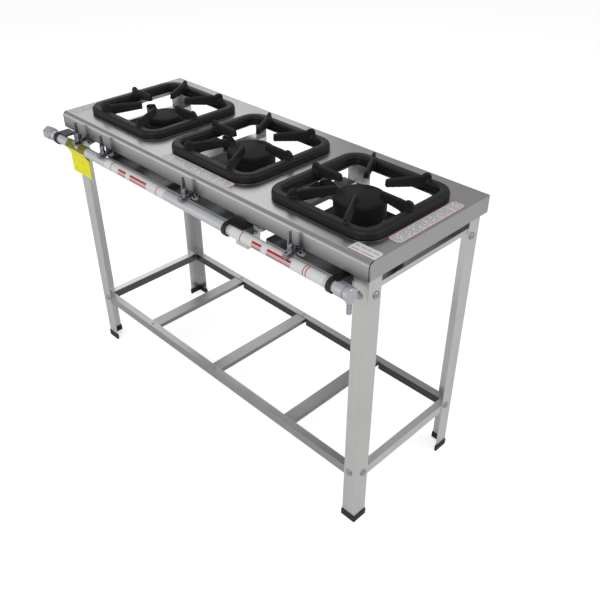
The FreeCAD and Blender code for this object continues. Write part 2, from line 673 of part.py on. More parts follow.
def hangers():
    straps = []
    xs = ("leftBar - barWide / 2", "leftBar + barWide / 2")
    reach = "legFlange - legSheet"
    under = ("barUnder - barSheet", "barUnder")
    start = "legFront + legFlange"
    straps.append(fuse(
        box(xs, (f"{start} - barSheet", start), ("barUnder - barSheet", "underPlate")),
        box(xs, (f"{start} - barSheet", f"{start} + {reach}"), under)))
    straps.append(fuse(
        box(xs, ("inBack - barSheet", "inBack"), ("barUnder - barSheet", "underPlate")),
        box(xs, (f"inBack - ({reach})", "inBack"), under)))
    side = ("stubSide", "stubSide + barSheet")
    roof = ("stubSide", "rightBar + barWide / 2")
    drop = ("barUnder - bracketDrop", "barUnder")
    for face, near, far in (
        (("inFront", "legFront + legFlange"), "legFront + legFlange / 2", "legFront + legFlange * 1.6"),
        (("legBack - legFlange", "inBack"), "legBack - legFlange * 1.6", "legBack - legFlange / 2"),
    ):
        tab = fuse(box(side, face, drop), box(roof, (near, far), under))
        middle = "legFront + boltEdge" if "Front" in face[0] else "legBack - boltEdge"
        hole = rod("x", "boltHole", "stubSide - legSheet", "stubSide + legSheet * 2", (middle, "upperBolt"))
        straps.append(cut(tab, hole))
    keep("bar_hangers", together(straps))


def stubs():
    bottom = "underPlate - stubDrop"
    flanges = ("legFlange", "legFlange")
    low, high = "stubSide - legSheet * 2", "stubSide + legSheet"
    front = prism("XY", angle(("stubSide", "legFront"), (-1, 1), flanges, "legSheet"), bottom, "underPlate")
    hole = rod("x", "boltHole", low, high, ("legFront + boltEdge", "upperBolt"))
    at = ("stubSide - legFlange / 2", "clampScrew")
    clamp = rod("y", "screwHole", "legFront - legSheet", "legFront + legSheet * 2", at)
    keep("front_centre_bracket", cut(front, hole, clamp))
    corner = ("stubSide - legSheet", "legBack")
    rear = prism("XY", angle(corner, (1, -1), flanges, "legSheet"), bottom, "underPlate")
    hole = rod("x", "boltHole", low, high, ("legBack - boltEdge", "upperBolt"))
    keep("rear_centre_bracket", cut(rear, hole))


def fasteners():
    bolts, nuts = [], []
    for across, along in legCorners.values():
        corner = legFaces(across, along)
        for height, inner in (("upperBolt", "barSheet"), ("lowerBolt", "railSheet")):
            grip = f"(legSheet + {inner})"
            at = (f"{corner[0]} - {across} * boltEdge", height)
            bolts.append(bolt("y", -along, corner[1], grip, at))
            nuts.append(nut("y", -along, corner[1], grip, at))
            at = (f"{corner[1]} - {along} * boltEdge", height)
            bolts.append(bolt("x", -across, corner[0], grip, at))
            nuts.append(nut("x", -across, corner[0], grip, at))
    for middle in ("legFront + boltEdge", "legBack - boltEdge"):
        at = (middle, "upperBolt")
        bolts.append(bolt("x", 1, "stubSide - legSheet", "(legSheet + barSheet)", at))
        nuts.append(nut("x", 1, "stubSide - legSheet", "(legSheet + barSheet)", at))
    keep("frame_bolts", together(bolts))
    keep("frame_nuts", together(nuts))
    screws = []
    grip = "(legSheet + clampPlate)"
    for middle, height, face in (
        ("-(legX - legFlange / 2)", "clampScrew", "legFront - clampPlate"),
        ("stubSide - legFlange / 2", "clampScrew", "legFront - clampPlate"),
        ("rightScrew", "rightLine", "legFront"),
    ):
        screws.append(bolt("y", 1, face, grip, (middle, height), "screwRadius", "screwHead", "screwTall", "0"))
    keep("clamp_screws", together(screws))


# Grates

# Section of a finger at one distance from the grate's middle
def fingerSection(out, low, high):
    base, crest = number("fingerWide") / 2, number("fingerCrest") / 2
    shoulder, ridge = crest + (base - crest) / 4, crest - number("crestInset")
    brow = high - number("crestDrop")
    across = [(-base, low), (base, low), (shoulder, brow), (ridge, high), (-ridge, high), (-shoulder, brow)]
    points = [Vector(out, side, up) for side, up in across]
    return Part.makePolygon(points + points[:1])


# A radial finger with a rounded hump where it meets the frame
def finger(frameFace, foot):
    tip, top, low = number("fingerTip"), number("fingerTop"), number("fingerLow")
    reach, sink = number("humpReach"), number("humpSink")
    peak = frameFace + number("grateBar") / 4
    stations = [(tip, low, top - number("tipDrop")), (tip + number("tipLong"), low, top)]
    stations.append((peak - number("humpLead"), low / 2, top))
    for turn in (-60, -30, 0, 30, 60, 85):
        swing = math.radians(turn)
        crest = top - sink + (number("humpRise") + sink) * math.cos(swing)
        stations.append((peak + reach * math.sin(swing), foot, crest))
    sections = [fingerSection(*station) for station in stations]
    return Part.makeLoft(sections, True, True)


def grateShape():
    foot = number("runGap")
    half, bar, tall = number("grateSide") / 2, number("grateBar"), number("grateTall")

    def slab(side, corner, low, high):
        block = Part.makeBox(2 * side, 2 * side, high - low, Vector(-side, -side, low))
        return block.makeFillet(corner, [edge for edge in block.Edges if upright(edge)])

    corner = number("grateRound")
    frame = slab(half, corner, foot, tall).cut(slab(half - bar, corner - bar, foot - 1, tall + 1))
    top = [edge for edge in frame.Edges if edge.BoundBox.ZMin > tall - 0.01]
    frame = frame.makeFillet(number("grateEase"), top)
    face = half - bar
    for turn in range(0, 360, 60):
        straight = turn % 180 == 0
        reach = face if straight else face / math.sin(math.radians(60))
        arm = finger(reach, foot + 2)
        arm.rotate(Vector(), Vector(0, 0, 1), turn)
        frame = frame.fuse(arm)
    return frame.removeSplitter()


def grates():
    shape = grateShape()
    for name, step in (("left", -1), ("middle", 0), ("right", 1)):
        item = doc.addObject("Part::Feature", name.title() + "Grate")
        item.Shape = shape.copy()
        keep(f"{name}_grate", item, (f"{step} * burnerPitch", "burnerBack", "plateTop"))


# Burners

# An arm that widens towards its end, seen from above, with its burner's centre at the origin
def armOutline(way, reach):
    along = (f"{way} * cos(armTilt * 1deg)", f"-{way} * sin(armTilt * 1deg)")
    across = (f"{way} * sin(armTilt * 1deg)", f"{way} * cos(armTilt * 1deg)")
    marks = [("bowlRim / 2", "armNeck / 2"), (f"{reach} * 0.7", "armNeck / 2")]
    marks.append((f"{reach} + armPast", "armEnd / 2"))
    marks += [(out, f"-{half}") for out, half in reversed(marks)]
    return [tuple(f"({out}) * ({along[n]}) + ({half}) * ({across[n]})" for n in (0, 1)) for out, half in marks]


def bowl():
    rise = "(drumFoot - bowlBottom)"
    return turned([
        ("0", "bowlBottom"), ("bowlFoot", "bowlBottom"), ("bowlRim - bowlLean", f"bowlBottom + {rise} * 0.7"),
        ("bowlRim", "drumFoot"), ("bowlRim - bowlWall", "drumFoot"),
        ("bowlRim - bowlLean - bowlWall", f"bowlBottom + {rise} * 0.75"),
        ("bowlFoot - bowlWall / 2", "bowlBottom + bowlWall"), ("0", "bowlBottom + bowlWall"),
    ])


def mixingTube(across):
    at = (across, "tubeLine")
    mouth = "mouthY - burnerBack"
    flare = f"{mouth} + bellLong"
    outside = [rod("y", "tubeRadius", mouth, "0", at), cone("y", "bellRadius", "tubeRadius", mouth, flare, at)]
    inside = [rod("y", "tubeBore", f"{mouth} - 1", "0", at)]
    inside.append(cone("y", "bellRadius - bellWall", "tubeBore", mouth, flare, at))
    return outside, inside


# The side tube of the double burner turns into the bowl at its back end
def sideTube():
    outside, inside = mixingTube("-sideTube")
    corner = ("-sideTube", "0", "tubeLine")
    for parts, radius in ((outside, "tubeRadius"), (inside, "tubeBore")):
        parts.append(ball(radius, corner))
        parts.append(rod("x", radius, "-sideTube", "-bowlFoot", ("0", "tubeLine")))
    return outside, inside


# Round wall in the double burner's bowl that carries the inner cap
def innerSeat(bores):
    foot = "bowlBottom + bowlTall / 2"
    outer = rod("z", "innerRadius - seatStep", foot, "drumFoot", ("0", "0"))
    inner = rod("z", "innerRadius - seatStep - seatWall", foot, "drumFoot", ("0", "0"))
    return cut(outer, inner, *bores)


def burners():
    for name, (centre, bars) in burnerSeats.items():
        outside, bores = mixingTube("0")
        if name == "left":
            moreOutside, moreBores = sideTube()
            outside += moreOutside
            bores += moreBores
        solids, tools = [bowl()] + outside, list(bores)
        for way, bar in zip((-1, 1), bars):
            reach = f"({way} * ({bar} - ({centre})) / cos(armTilt * 1deg))"
            solids.append(prism("XY", armOutline(way, reach), "drumFoot - armTall", "drumFoot"))
            end = (f"{bar} - ({centre})", f"-({bar} - ({centre})) * tan(armTilt * 1deg)")
            solids.append(rod("z", "armEnd / 2", "barTop", "drumFoot", end))
            tools.append(rod("z", "armHole", "barTop - 1", "drumFoot + 1", end))
        floor, rim = "bowlFoot - bowlWall / 2", "bowlRim - bowlWall - 1"
        tools.append(cone("z", floor, rim, "bowlBottom + bowlWall", "drumFoot + 1", ("0", "0")))
        body = cut(fuse(*solids), *tools)
        if name == "left":
            body = fuse(body, innerSeat(bores))
        keep(f"{name}_burner", body, (centre, "burnerBack", "0"))
    bolts = []
    grip = "(drumFoot - barTop + barSheet)"
    for centre, bars in burnerSeats.values():
        for bar in bars:
            at = armEnd(centre, bar)
            bolts.append(bolt("z", -1, "drumFoot", grip, at, "armBolt", "armHead", "screwTall"))
            bolts.append(nut("z", -1, "drumFoot", grip, at, "armBolt", "armNut"))
    keep("burner_bolts", together(bolts))


def capOutline(radius, tall, rise):
    low, top = "drumFoot + runGap", f"drumFoot + {tall}"
    groove = f"{top} - portDrop"
    inside = f"{radius} - drumWall"
    return [
        ("0", f"{top} + {rise}"), (f"{radius} - capEase", top), (radius, f"{top} - capEase"),
        (radius, f"{groove} + portTall / 2"), (f"{radius} - portDeep", f"{groove} + portTall / 2"),
        (f"{radius} - portDeep", f"{groove} - portTall / 2"), (radius, f"{groove} - portTall / 2"),
        (radius, low), (inside, low), (inside, f"{top} - drumWall"), ("0", f"{top} + {rise} - drumWall"),
    ]


def caps():
    for name, step in (("middle", 0), ("right", 1)):
        drum = turned(capOutline("drumRadius", "drumTall", "drumCone"))
        keep(f"{name}_burner_cap", drum, (f"{step} * burnerPitch", "burnerBack", "0"))
    low, top = "drumFoot + runGap", "drumFoot + ringTall"
    inner = "innerRadius + ringGap"
    ring = turned([
        (inner, low), ("ringRadius", low), ("ringRadius", f"{top} - ringSlope"),
        ("ringRadius - ringSlope", top), (inner, top),
    ])
    keep("left_ring_cap", ring, ("-burnerPitch", "burnerBack", "0"))
    drum = turned(capOutline("innerRadius", "innerTall", "innerCone"))
    keep("left_inner_cap", drum, ("-burnerPitch", "burnerBack", "0"))


# Air shutters, one at each tube mouth

tubeMouths = {
    "right": "burnerPitch", "middle": "0", "inner_left": "-burnerPitch", "outer_left": "outerTube",
}


def shutters():
    for name, across in tubeMouths.items():
        back = "-runGap"
        disc = rod("y", "shutterRadius", f"{back} - shutterThick", back, ("0", "0"))
        holes = [rod("y", "jetTip + 1", "-shutterThick * 2", "1", ("0", "0"))]
        for turn in (0, 90, 180, 270):
            at = (f"shutterPitch * cos({turn}deg)", f"shutterPitch * sin({turn}deg)")
            holes.append(rod("y", "shutterHole", "-shutterThick * 2", "1", at))
        sides, rise = ("-lugWide / 2", "lugWide / 2"), ("shutterRadius - lugTall / 3", "shutterRadius + lugTall")
        lug = box(sides, (f"{back} - shutterThick", back), rise)
        keep(f"{name}_air_shutter", cut(fuse(disc, lug), *holes), (across, "mouthY", "tubeLine"))


# Gas pipe

def gasPipe():
    at = ("pipeY", "pipeLine")
    pipe = rod("x", "pipeRadius", "pipeLeft", "pipeRight", at)
    bore = rod("x", "pipeRadius - pipeWall", "pipeLeft - 1", "pipeRight + 1", at)
    ports = []
    for place in ("rightValve", "middleValve", "innerValve", "outerValve"):
        ports.append(rod("z", "jetTip", "pipeLine", "pipeTop + 1", (place, "pipeY")))
    keep("gas_pipe", cut(pipe, bore, *ports))
    plug = fuse(
        rod("x", "plugRadius", "plugEnd", "pipeLeft", at),
        hexagon("x", "plugHex", "hexEnd", "plugEnd", at),
        cone("x", "plugTipRadius * 0.7", "plugTipRadius", "leftEnd", "hexEnd", at))
    keep("pipe_end_cap", plug)


# The elbow has a round end face, and its outlet points down into the hose tail
def elbow():
    at, down = ("pipeY", "pipeLine"), ("outletX", "pipeY")
    neck = "pipeRight + collarLong"
    disc = f"{neck} + neckLong"
    face = f"{disc} + discLong"
    inner = "pipeRadius - pipeWall"
    solid = fuse(
        rod("x", "collarRadius", "pipeRight", neck, at),
        rod("x", "neckRadius", neck, disc, at),
        rod("x", "discRadius", disc, f"{face} - discEase", at),
        cone("x", "discRadius", "discRadius - discEase", f"{face} - discEase", face, at),
        rod("z", "outletRadius", "outletLine", "pipeLine", down))
    keep("pipe_elbow", cut(
        solid, rod("x", inner, "pipeRight - 1", "outletX", at),
        rod("z", "barbBore", "outletLine - 1", "pipeLine", down)))
    low = "outletLine - barbLong"
    ribs = [rod("z", "barbStem", low, "outletLine", down)]
    for step in range(5):
        start = f"{low} + {step} * barbStep"
        ribs.append(cone("z", "barbStem", "barbRadius", start, f"{start} + barbTall", down))
    keep("hose_tail", cut(fuse(*ribs), rod("z", "barbBore", f"{low} - 1", "outletLine + 1", down)))


# A pipe clamp: a hook round the front of the pipe, and a plate back to the leg
def clamp(hook, left, right, back, hole):
    at = ("pipeY", "pipeLine")
    low, high = f"{hook} - hookWide / 2", f"{hook} + hookWide / 2"
    ring = rod("x", "hookOuter", low, high, at)
    behind = box((low, high), ("pipeY", "pipeY + hookOuter"), ("pipeLine - hookOuter", "pipeLine + hookOuter"))
    half = cut(ring, behind, rod("x", "hookInner", low, high, at))
    tail = box((low, high), ("pipeY", "pipeY + hookTail"), ("pipeLine - hookOuter", "pipeLine - hookInner"))
    arm = box((left, right), ("pipeY", "legFront"), ("pipeLine + hookInner", "pipeLine + hookOuter"))
    return cut(fuse(half, tail, arm, *back), hole)


def clamps():
    rise = ("clampFoot", "pipeLine + hookOuter")
    for name, hook, armEdge, left, right, screw in (
        ("left", "-(legX + leftHook)", "leftStrap - legX", "-legX", "legFlange - legX", "legFlange / 2 - legX"),
        ("centre", "stubSide - midHook", "stubSide + midWing", "stubSide - legFlange", "stubSide + midWing",
         "stubSide - legFlange / 2"),
    ):
        back = box((left, right), ("legFront - clampPlate", "legFront"), rise)
        hole = rod("y", "screwHole", "legFront - clampPlate * 2", "legFront + 1", (screw, "clampScrew"))
        keep(f"{name}_pipe_clamp", clamp(hook, f"{hook} - hookWide / 2", armEdge, [back], hole))
    left, right = "legX - rightHook - hookWide / 2", "pipeRight - runGap"
    inside = ("inFront", "inFront + clampPlate")
    over = ("pipeLine + hookInner", "pipeLine + hookOuter")
    bridge = box((left, right), ("legFront", "inFront + clampPlate"), over)
    back = box((left, "rightScrew + screwMargin"), inside, ("barTop + runGap", "rightHigh"))
    hole = rod("y", "screwHole", "inFront - 1", "inFront + clampPlate * 2", ("rightScrew", "rightLine"))
    keep("right_pipe_clamp", clamp("legX - rightHook", left, right, [bridge, back], hole))


# Valves and their handles, with the pipe's axis as the local origin

valvePlaces = {
    "right": "rightValve", "middle": "middleValve", "inner_left": "innerValve", "outer_left": "outerValve",
}


def valves():
    for name, across in valvePlaces.items():
        solid = fuse(
            rod("z", "valveNeck", "0", "valveRise", ("0", "0")),
            rod("z", "valveRadius", "valveRise", "valveTall", ("0", "0")),
            rod("y", "barrelRadius", "-barrelFront", "barrelBack", ("0", "valveRise")),
            rod("y", "jetRadius", "0", "jetLong", ("0", "valveRise")),
            hexagon("y", "jetNut", "barrelBack", "barrelBack + jetNutLong", ("0", "valveRise")),
            rod("z", "spindle", "valveTall", "valveTall + hubTall - 2", ("0", "0")))
        pipe = rod("x", "pipeRadius + 0.02", "-pipeRadius * 2", "pipeRadius * 2", ("0", "0"))
        keep(f"{name}_valve", cut(fuse(solid, jetPiece(name, across)), pipe), (across, "pipeY", "pipeLine"))
        handle(name, across)


# The jet leans sideways where its valve isn't in line with the tube mouth
def jetPiece(name, across):
    aside, rise = number(f"{tubeMouths[name]} - ({across})"), number("valveRise")
    start = Vector(0, number("jetLong - jetSleeve"), rise)
    end = Vector(aside, number("mouthY - pipeY + jetInto"), rise)
    knee = Vector(aside, number("mouthY - pipeY - shutterThick - jetSleeve * 1.5"), rise)
    item = doc.addObject("Part::Feature", "Jet")
    sleeve = number("jetSleeve")
    run = Part.makeCylinder(sleeve, (knee - start).Length, start, knee - start)
    last = Part.makeCylinder(number("jetTip"), (end - knee).Length, knee, end - knee)
    item.Shape = run.fuse(Part.makeSphere(sleeve, knee)).fuse(last).removeSplitter()
    return item


def handle(name, across):
    low = "valveTall + runGap"
    high = "valveTall + paddleTall"
    shoulder = f"{low} + hubTall"
    foot = f"{shoulder} - hubTall / 2"
    outline = [("-paddleFoot", foot), ("paddleFoot", foot), ("paddleCrest", high), ("-paddleCrest", high)]
    paddle = prism("YZ", outline, "-paddleThick / 2", "paddleThick / 2")
    crest = number(high)
    ease(paddle, "paddleRound", lambda edge: edge.BoundBox.ZMin > crest - 0.01 and edge.BoundBox.YLength < 0.01)
    hub = fuse(
        rod("z", "hubRadius", low, shoulder, ("0", "0")),
        cone("z", "hubRadius", "hubRadius / 2", shoulder, f"{shoulder} + hubTall / 3", ("0", "0")))
    bore = rod("z", "spindle + runGap", low, f"{low} + hubTall - 1.5", ("0", "0"))
    keep(f"{name}_valve_handle", cut(fuse(hub, paddle), bore), (across, "pipeY", "pipeLine"))


# Drip trays on two bearers

def trays():
    for name, left, right in (("long", "longLeft", "longRight"), ("short", "shortLeft", "shortRight")):
        body = prism("XY", rectangle((left, right), ("trayY", "trayY + trayDeep")), "trayFloor", "trayTop")
        ease(body, "trayRound", upright)
        hollow(body, "traySheet", lambda face: face.CenterOfMass.z > number("trayTop") - 0.01)
        keep(f"{name}_drip_tray", body)
    bearers = []
    for side in (-1, 1):
        middle = f"bearerShift + {side} * bearerSpan / 2"
        ys = (f"{middle} - bearerWide / 2", f"{middle} + bearerWide / 2")
        end = "legX - bearerEnd"
        rise = ("bearerTop - bearerThick", "barTop - barSheet")
        bearers.append(fuse(
            box((f"-({end})", end), ys, ("bearerTop - bearerThick", "bearerTop")),
            box((f"-({end})", f"-({end}) + bearerThick"), ys, rise),
            box((f"{end} - bearerThick", end), ys, rise),
            box(("rightBar", "rightBar + bearerThick"), ys, rise)))
    keep("tray_bearers", together(bearers))


def hangTag():
    left = "outerValve - tagBefore"
    at = ("pipeY", "pipeLine")
    sides = (left, f"{left} + tagWide")
    outer = "pipeRadius + wrapGap + tagSheet"
    loop = cut(rod("x", outer, *sides, at), rod("x", "pipeRadius + wrapGap", *sides, at))
    under = ("pipeLine - tagDrop", "pipeLine - pipeRadius - wrapGap")
    drop = box(sides, ("pipeY - tagSheet", "pipeY + tagSheet"), under)
    slot = ("outerValve - barrelRadius - tagSlot", "outerValve + barrelRadius + tagSlot")
    rise = ("pipeLine + slotFoot", "pipeLine + hookOuter")
    room = box(slot, ("pipeY - hookOuter", "pipeY + hookOuter"), rise)
    keep("hang_tag", fuse(cut(loop, room), drop))


topPlate()
legs()
shelf()
burnerBars()
hangers()
stubs()
fasteners()
grates()
burners()
caps()
shutters()
gasPipe()
elbow()
clamps()
valves()
trays()
hangTag()
doc.recompute()

# Checks of the document, then one file for each sub-part
for item in doc.Objects:
    if "Invalid" in item.State or "Error" in item.State:
        raise RuntimeError(f"{item.Name} ({item.Label}) did not build: {item.State}")
for item in subparts:
    if item.Shape.isNull() or not item.Shape.isValid() or not item.Shape.Solids:
        raise RuntimeError(f"{item.Label} has no valid solid")

os.makedirs("parts", exist_ok=True)
for item in subparts:
    item.Shape.exportStep(f"parts/{item.Label}.step")
    solids = len(item.Shape.Solids)
    print(f"{item.Label}: {solids} solid{'s' if solids > 1 else ''}, {item.Shape.Volume / 1000:.1f} cm3")
print(len(subparts), "nodes")
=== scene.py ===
import json
import math
import bpy
from mathutils import Matrix, Vector


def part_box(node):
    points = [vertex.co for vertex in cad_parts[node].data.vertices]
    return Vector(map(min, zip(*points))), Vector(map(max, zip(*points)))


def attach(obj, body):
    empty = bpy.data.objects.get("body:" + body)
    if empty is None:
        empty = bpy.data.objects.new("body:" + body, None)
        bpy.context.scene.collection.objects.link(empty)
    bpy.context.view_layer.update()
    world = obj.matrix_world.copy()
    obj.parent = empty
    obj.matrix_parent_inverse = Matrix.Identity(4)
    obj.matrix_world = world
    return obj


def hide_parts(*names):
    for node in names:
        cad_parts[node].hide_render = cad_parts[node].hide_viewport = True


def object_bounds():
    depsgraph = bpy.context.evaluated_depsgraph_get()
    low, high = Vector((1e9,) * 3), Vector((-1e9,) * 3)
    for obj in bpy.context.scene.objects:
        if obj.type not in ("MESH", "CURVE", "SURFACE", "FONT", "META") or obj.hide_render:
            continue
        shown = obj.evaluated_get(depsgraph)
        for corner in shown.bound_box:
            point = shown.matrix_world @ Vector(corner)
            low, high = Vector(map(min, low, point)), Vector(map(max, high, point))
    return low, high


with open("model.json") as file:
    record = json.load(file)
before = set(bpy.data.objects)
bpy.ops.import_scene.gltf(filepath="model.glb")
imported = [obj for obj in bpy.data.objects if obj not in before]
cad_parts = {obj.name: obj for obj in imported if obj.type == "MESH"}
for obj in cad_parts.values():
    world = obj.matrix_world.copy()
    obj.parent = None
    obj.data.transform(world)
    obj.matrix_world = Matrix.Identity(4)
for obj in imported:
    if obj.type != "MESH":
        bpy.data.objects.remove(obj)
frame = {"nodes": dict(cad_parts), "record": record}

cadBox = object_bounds()
nodes = frame["nodes"]
bodies = frame["record"]["behaviour"]["bodies"]
bodyOf = {node: body for body, members in bodies.items() for node in members}
slotOf = {part["node"]: part["material_slot"] for part in frame["record"]["subparts"]}
print("frame loaded,", len(nodes), "nodes")

plateLow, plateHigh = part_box("top_plate")
middle = (plateLow + plateHigh) / 2
plateTop = plateHigh.z
pipeLow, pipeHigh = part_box("gas_pipe")
pipeAxis = Vector((0, (pipeLow.y + pipeHigh.y) / 2, (pipeLow.z + pipeHigh.z) / 2))
pipeRadius = (pipeHigh.z - pipeLow.z) / 2


# Selecting and editing
weldGap = 0.00001


def only(piece):
    bpy.ops.object.select_all(action="DESELECT")
    piece.select_set(True)
    bpy.context.view_layer.objects.active = piece


def edit(piece):
    only(piece)
    bpy.ops.object.mode_set(mode="EDIT")
    bpy.ops.mesh.select_all(action="SELECT")


def done():
    bpy.ops.object.mode_set(mode="OBJECT")


def settle(piece):
    only(piece)
    bpy.ops.object.transform_apply(location=True, rotation=True, scale=True)


def modify(piece, kind, **values):
    only(piece)
    modifier = piece.modifiers.new(kind.title(), kind)
    for key, value in values.items():
        setattr(modifier, key, value)
    bpy.ops.object.modifier_apply(modifier=modifier.name)


def smooth(piece, degrees):
    only(piece)
    bpy.ops.object.shade_smooth_by_angle(angle=math.radians(degrees))


def give(piece, material, body, slot, *replaced):
    piece.data.materials.clear()
    piece.data.materials.append(material)
    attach(piece, body)
    if replaced:
        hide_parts(*replaced)


def copyOf(node, name):
    piece = bpy.data.objects.new(name, nodes[node].data.copy())
    bpy.context.scene.collection.objects.link(piece)
    edit(piece)
    bpy.ops.mesh.remove_doubles(threshold=weldGap)
    done()
    return piece


def twin(piece, name, shift):
    copy = bpy.data.objects.new(name, piece.data.copy())
    copy.data.transform(Matrix.Translation(shift))
    bpy.context.scene.collection.objects.link(copy)
    return copy


# Shader node groups

def newGroup(name, inputs, outputs):
    group = bpy.data.node_groups.new(name, "ShaderNodeTree")
    for label, kind, value in inputs:
        socket = group.interface.new_socket(name=label, in_out="INPUT", socket_type=kind)
        socket.default_value = value
    for label, kind in outputs:
        group.interface.new_socket(name=label, in_out="OUTPUT", socket_type=kind)
    start = group.nodes.new("NodeGroupInput")
    end = group.nodes.new("NodeGroupOutput")
    return group, start, end


def add(tree, kind, links=(), **values):
    node = tree.nodes.new(kind)
    for key, value in values.items():
        if key in node.inputs:
            node.inputs[key].default_value = value
        else:
            setattr(node, key, value)
    for target, source in links:
        tree.links.new(source, node.inputs[target])
    return node


def objectCoordinates(tree):
    return add(tree, "ShaderNodeTexCoord").outputs["Object"]


# Levels of the noise: its middle, and where a patch begins and is full. The coarse grain's scale is a share.
noiseLook = {"middle": 0.5, "patchBegins": 0.38, "patchFull": 0.72, "coarseScale": 0.22}


# Fine lines that run along one axis, as left by a grinding belt
def makeBrushedLines():
    group, start, end = newGroup(
        "brushedLines",
        [("Vector", "NodeSocketVector", (0, 0, 0)), ("Stretch", "NodeSocketVector", (3, 700, 700)),
         ("Strength", "NodeSocketFloat", 0.5)],
        [("Mask", "NodeSocketFloat")])
    vector, stretch, strength = (start.outputs[key] for key in ("Vector", "Stretch", "Strength"))
    scaled = add(group, "ShaderNodeVectorMath", [(0, vector), (1, stretch)], operation="MULTIPLY")
    noise = add(group, "ShaderNodeTexNoise", [("Vector", scaled.outputs[0])], Scale=1.0, Detail=4.0)
    spread = add(group, "ShaderNodeMath", [(0, noise.outputs["Fac"])], operation="SUBTRACT")
    spread.inputs[1].default_value = noiseLook["middle"]
    strong = add(group, "ShaderNodeMath", [(0, spread.outputs[0]), (1, strength)], operation="MULTIPLY")
    group.links.new(strong.outputs[0], end.inputs["Mask"])
    return group


# Soft patches of handling marks and dust
def makeSmudges():
    group, start, end = newGroup(
        "smudges",
        [("Vector", "NodeSocketVector", (0, 0, 0)), ("Size", "NodeSocketFloat", 14.0),
         ("Amount", "NodeSocketFloat", 0.5)],
        [("Mask", "NodeSocketFloat")])
    vector, size, amount = (start.outputs[key] for key in ("Vector", "Size", "Amount"))
    noise = add(group, "ShaderNodeTexNoise", [("Vector", vector), ("Scale", size)], Detail=5.0, Roughness=0.6)
    spread = add(group, "ShaderNodeMapRange", [("Value", noise.outputs["Fac"])])
    spread.inputs["From Min"].default_value = noiseLook["patchBegins"]
    spread.inputs["From Max"].default_value = noiseLook["patchFull"]
    strong = add(group, "ShaderNodeMath", [(0, spread.outputs[0]), (1, amount)], operation="MULTIPLY")
    group.links.new(strong.outputs[0], end.inputs["Mask"])
    return group


# Pits and grains of a sand casting
def makeCastGrain():
    group, start, end = newGroup(
        "castGrain",
        [("Vector", "NodeSocketVector", (0, 0, 0)), ("Size", "NodeSocketFloat", 600.0)],
        [("Height", "NodeSocketFloat"), ("Mask", "NodeSocketFloat")])
    vector, size = start.outputs["Vector"], start.outputs["Size"]
    fine = add(group, "ShaderNodeTexNoise", [("Vector", vector), ("Scale", size)], Detail=3.0, Roughness=0.55)
    larger = add(group, "ShaderNodeMath", [(0, size)], operation="MULTIPLY")
    larger.inputs[1].default_value = noiseLook["coarseScale"]
    coarse = add(group, "ShaderNodeTexNoise", [("Vector", vector), ("Scale", larger.outputs[0])], Detail=2.0)
    noises = [(0, fine.outputs["Fac"]), (1, coarse.outputs["Fac"])]
    both = add(group, "ShaderNodeMath", noises, operation="ADD")
    group.links.new(both.outputs[0], end.inputs["Height"])
    group.links.new(coarse.outputs["Fac"], end.inputs["Mask"])
    return group


# Painted shade: a colour that goes dark towards the floor, past a limit along the direction of one side
def makeLowShade():
    group, start, end = newGroup(
        "lowShade",
        [("Vector", "NodeSocketVector", (0, 0, 0)), ("Colour", "NodeSocketColor", (0.5, 0.5, 0.5, 1)),
         ("Low", "NodeSocketFloat", 0.0), ("High", "NodeSocketFloat", 0.1),
         ("Darkness", "NodeSocketFloat", 0.5), ("Side", "NodeSocketVector", (0, -1, 0)),
         ("Limit", "NodeSocketFloat", 0.0)],
        [("Colour", "NodeSocketColor")])
    given = start.outputs
    split = add(group, "ShaderNodeSeparateXYZ", [("Vector", given["Vector"])])
    heights = [("From Min", given["Low"]), ("From Max", given["High"]), ("To Min", given["Darkness"])]
    fall = add(group, "ShaderNodeMapRange", [("Value", split.outputs["Z"])] + heights)
    fall.inputs["To Max"].default_value = 0
    reach = [(0, given["Vector"]), (1, given["Side"])]
    along = add(group, "ShaderNodeVectorMath", reach, operation="DOT_PRODUCT")
    past = [(0, along.outputs["Value"]), (1, given["Limit"])]
    inside = add(group, "ShaderNodeMath", past, operation="GREATER_THAN")
    both = add(group, "ShaderNodeMath", [(0, fall.outputs[0]), (1, inside.outputs[0])], operation="MULTIPLY")
    dim = group.nodes.new("ShaderNodeMix")
    dim.data_type = "RGBA"
    group.links.new(both.outputs[0], dim.inputs[0])
    group.links.new(given["Colour"], dim.inputs[6])
    dim.inputs[7].default_value = (0, 0, 0, 1)
    group.links.new(dim.outputs[2], end.inputs["Colour"])
    return group


brushedLines = makeBrushedLines()
smudges = makeSmudges()
castGrain = makeCastGrain()
lowShade = makeLowShade()


def useGroup(tree, group, vector, **values):
    node = tree.nodes.new("ShaderNodeGroup")
    node.node_tree = group
    tree.links.new(vector, node.inputs["Vector"])
    for key, value in values.items():
        node.inputs[key].default_value = value
    return node


def newMaterial(name, **values):
    material = bpy.data.materials.new(name)
    material.use_nodes = True
    shader = material.node_tree.nodes["Principled BSDF"]
    for key, value in values.items():
        shader.inputs[key.replace("_", " ")].default_value = value
    return material, material.node_tree, shader


# A value that a mask moves from a low end to a high end
def between(tree, mask, low, high):
    node = add(tree, "ShaderNodeMapRange", [("Value", mask)])
    node.inputs["To Min"].default_value = low
    node.inputs["To Max"].default_value = high
    return node.outputs["Result"]


def colourMix(tree, mask, first, second):
    node = tree.nodes.new("ShaderNodeMix")
    node.data_type = "RGBA"
    tree.links.new(mask, node.inputs[0])
    node.inputs[6].default_value = (*first, 1)
    node.inputs[7].default_value = (*second, 1)
    return node.outputs[2]


def bump(tree, shader, height, strength, distance):
    node = add(tree, "ShaderNodeBump", [("Height", height)], Strength=strength, Distance=distance)
    tree.links.new(node.outputs["Normal"], shader.inputs["Normal"])


bumpDepth = {"steel": 0.0002, "iron": 0.0006, "coat": 0.0003}


